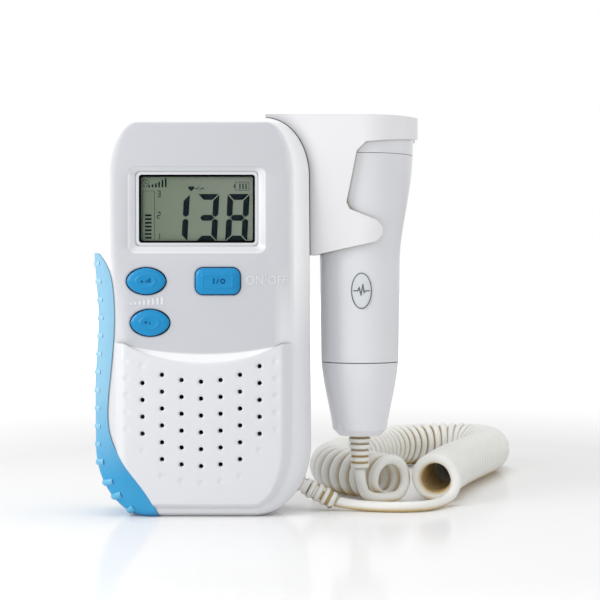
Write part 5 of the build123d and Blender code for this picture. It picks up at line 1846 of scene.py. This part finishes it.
@dataclass(frozen=True)
class ReliefRings:
    """Soft rings round the lower stretch of a strain relief, with open slots between them."""

    name: str
    body: str
    end: Point
    direction: Point
    radii: Pair
    rings: int
    pitch: float
    gap: float
    first: float = 1.2
    bore: float = 2.3
    round_edge: float = 0.25
    core_depth: float = 0.3
    sides: int = 40

    def build(self) -> None:
        """Make the rings, from the cord's end upwards, and the core that shows between them, tinted tan as
        painted shade in the slots.
        """
        axis = Vector(self.direction).normalized()
        across = axis.orthogonal().normalized()
        plane = across, axis.cross(across)
        places = [Vector(self.end) - axis * (self.first + self.pitch * index) for index in range(self.rings)]
        build = bmesh.new()
        for index, centre in enumerate(places):
            radius = self.radii[0] + (self.radii[1] - self.radii[0]) * index / (self.rings - 1)
            loops = []
            for along, reach in self._section(radius):
                loops.append(wheel(build, (centre + axis * along) * MM, *plane, reach * MM, self.sides))
            bridge(build, loops, looped=True)
        tidy_normals(build, 50.0)
        rings = piece_from(f"{self.name}_rings", mesh_from(self.name, build), Finishes.RELIEF)
        ride_on(rings, self.body)
        # the core is tinted tan as painted shade in the slots between the rings
        ends = [places[0] * MM, places[-1] * MM]
        core = tube(ends, (min(self.radii) - self.core_depth) * MM, self.sides)
        ride_on(piece_from(f"{self.name}_core", core, Finishes.SLOT), self.body)

    def _section(self, radius: float) -> list[Pair]:
        """A ring's section: (distance along the axis, distance from it)."""
        half, edge = (self.pitch - self.gap) / 2, self.round_edge
        outer = [(-half, radius - edge), (edge - half, radius), (half - edge, radius), (half, radius - edge)]
        return [(-half, self.bore), *outer, (half, self.bore)]


# ---------------------------------------------------------------- making
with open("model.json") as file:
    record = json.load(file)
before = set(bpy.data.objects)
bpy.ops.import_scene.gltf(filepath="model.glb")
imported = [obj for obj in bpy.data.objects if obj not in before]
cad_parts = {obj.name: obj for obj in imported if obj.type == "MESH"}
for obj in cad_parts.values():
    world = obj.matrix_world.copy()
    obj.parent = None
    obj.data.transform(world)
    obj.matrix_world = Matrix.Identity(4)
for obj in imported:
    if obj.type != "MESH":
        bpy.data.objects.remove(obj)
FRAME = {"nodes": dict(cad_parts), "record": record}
BODIES = FRAME["record"]["behaviour"]["bodies"]
BODY_OF = {node: body for body, nodes in BODIES.items() for node in nodes}


def main() -> None:
    """Build the camera, the cords and every sub-assembly."""
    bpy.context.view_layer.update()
    for part in (
        Viewpoint(),
        CurlyCord(),
        Housing(),
        Display(),
        Key("volume_up_button", "volume_up", (-20.6, 88.6), (7.3, 4.95), KeyShape.OVAL),
        Key("volume_down_button", "volume_down", (-19.2, 73.0), (7.3, 4.95), KeyShape.OVAL),
        Key("power_button", "power", (6.2, 88.6), (8.3, 4.95), KeyShape.ROUNDED),
        FrontMarks(),
        SideGrip(),
        CaseFasteners(),
        Insides(),
        Probe(),
        ReliefRings("probe_relief", "probe", (60.5, 11.0, 15.1), (0, 0, -1), (3.55, 4.35), 5, 2.5, 0.75),
        ReliefRings("case_relief", "case", (50.4, 0.5, 3.5), (0.88, -0.03, -0.47), (3.35, 3.7), 4, 3.0, 1.3),
        Studio(),
    ):
        part.build()


if __name__ == "__main__":
    logging.basicConfig(level=logging.INFO, format="%(name)s %(message)s")
    main()
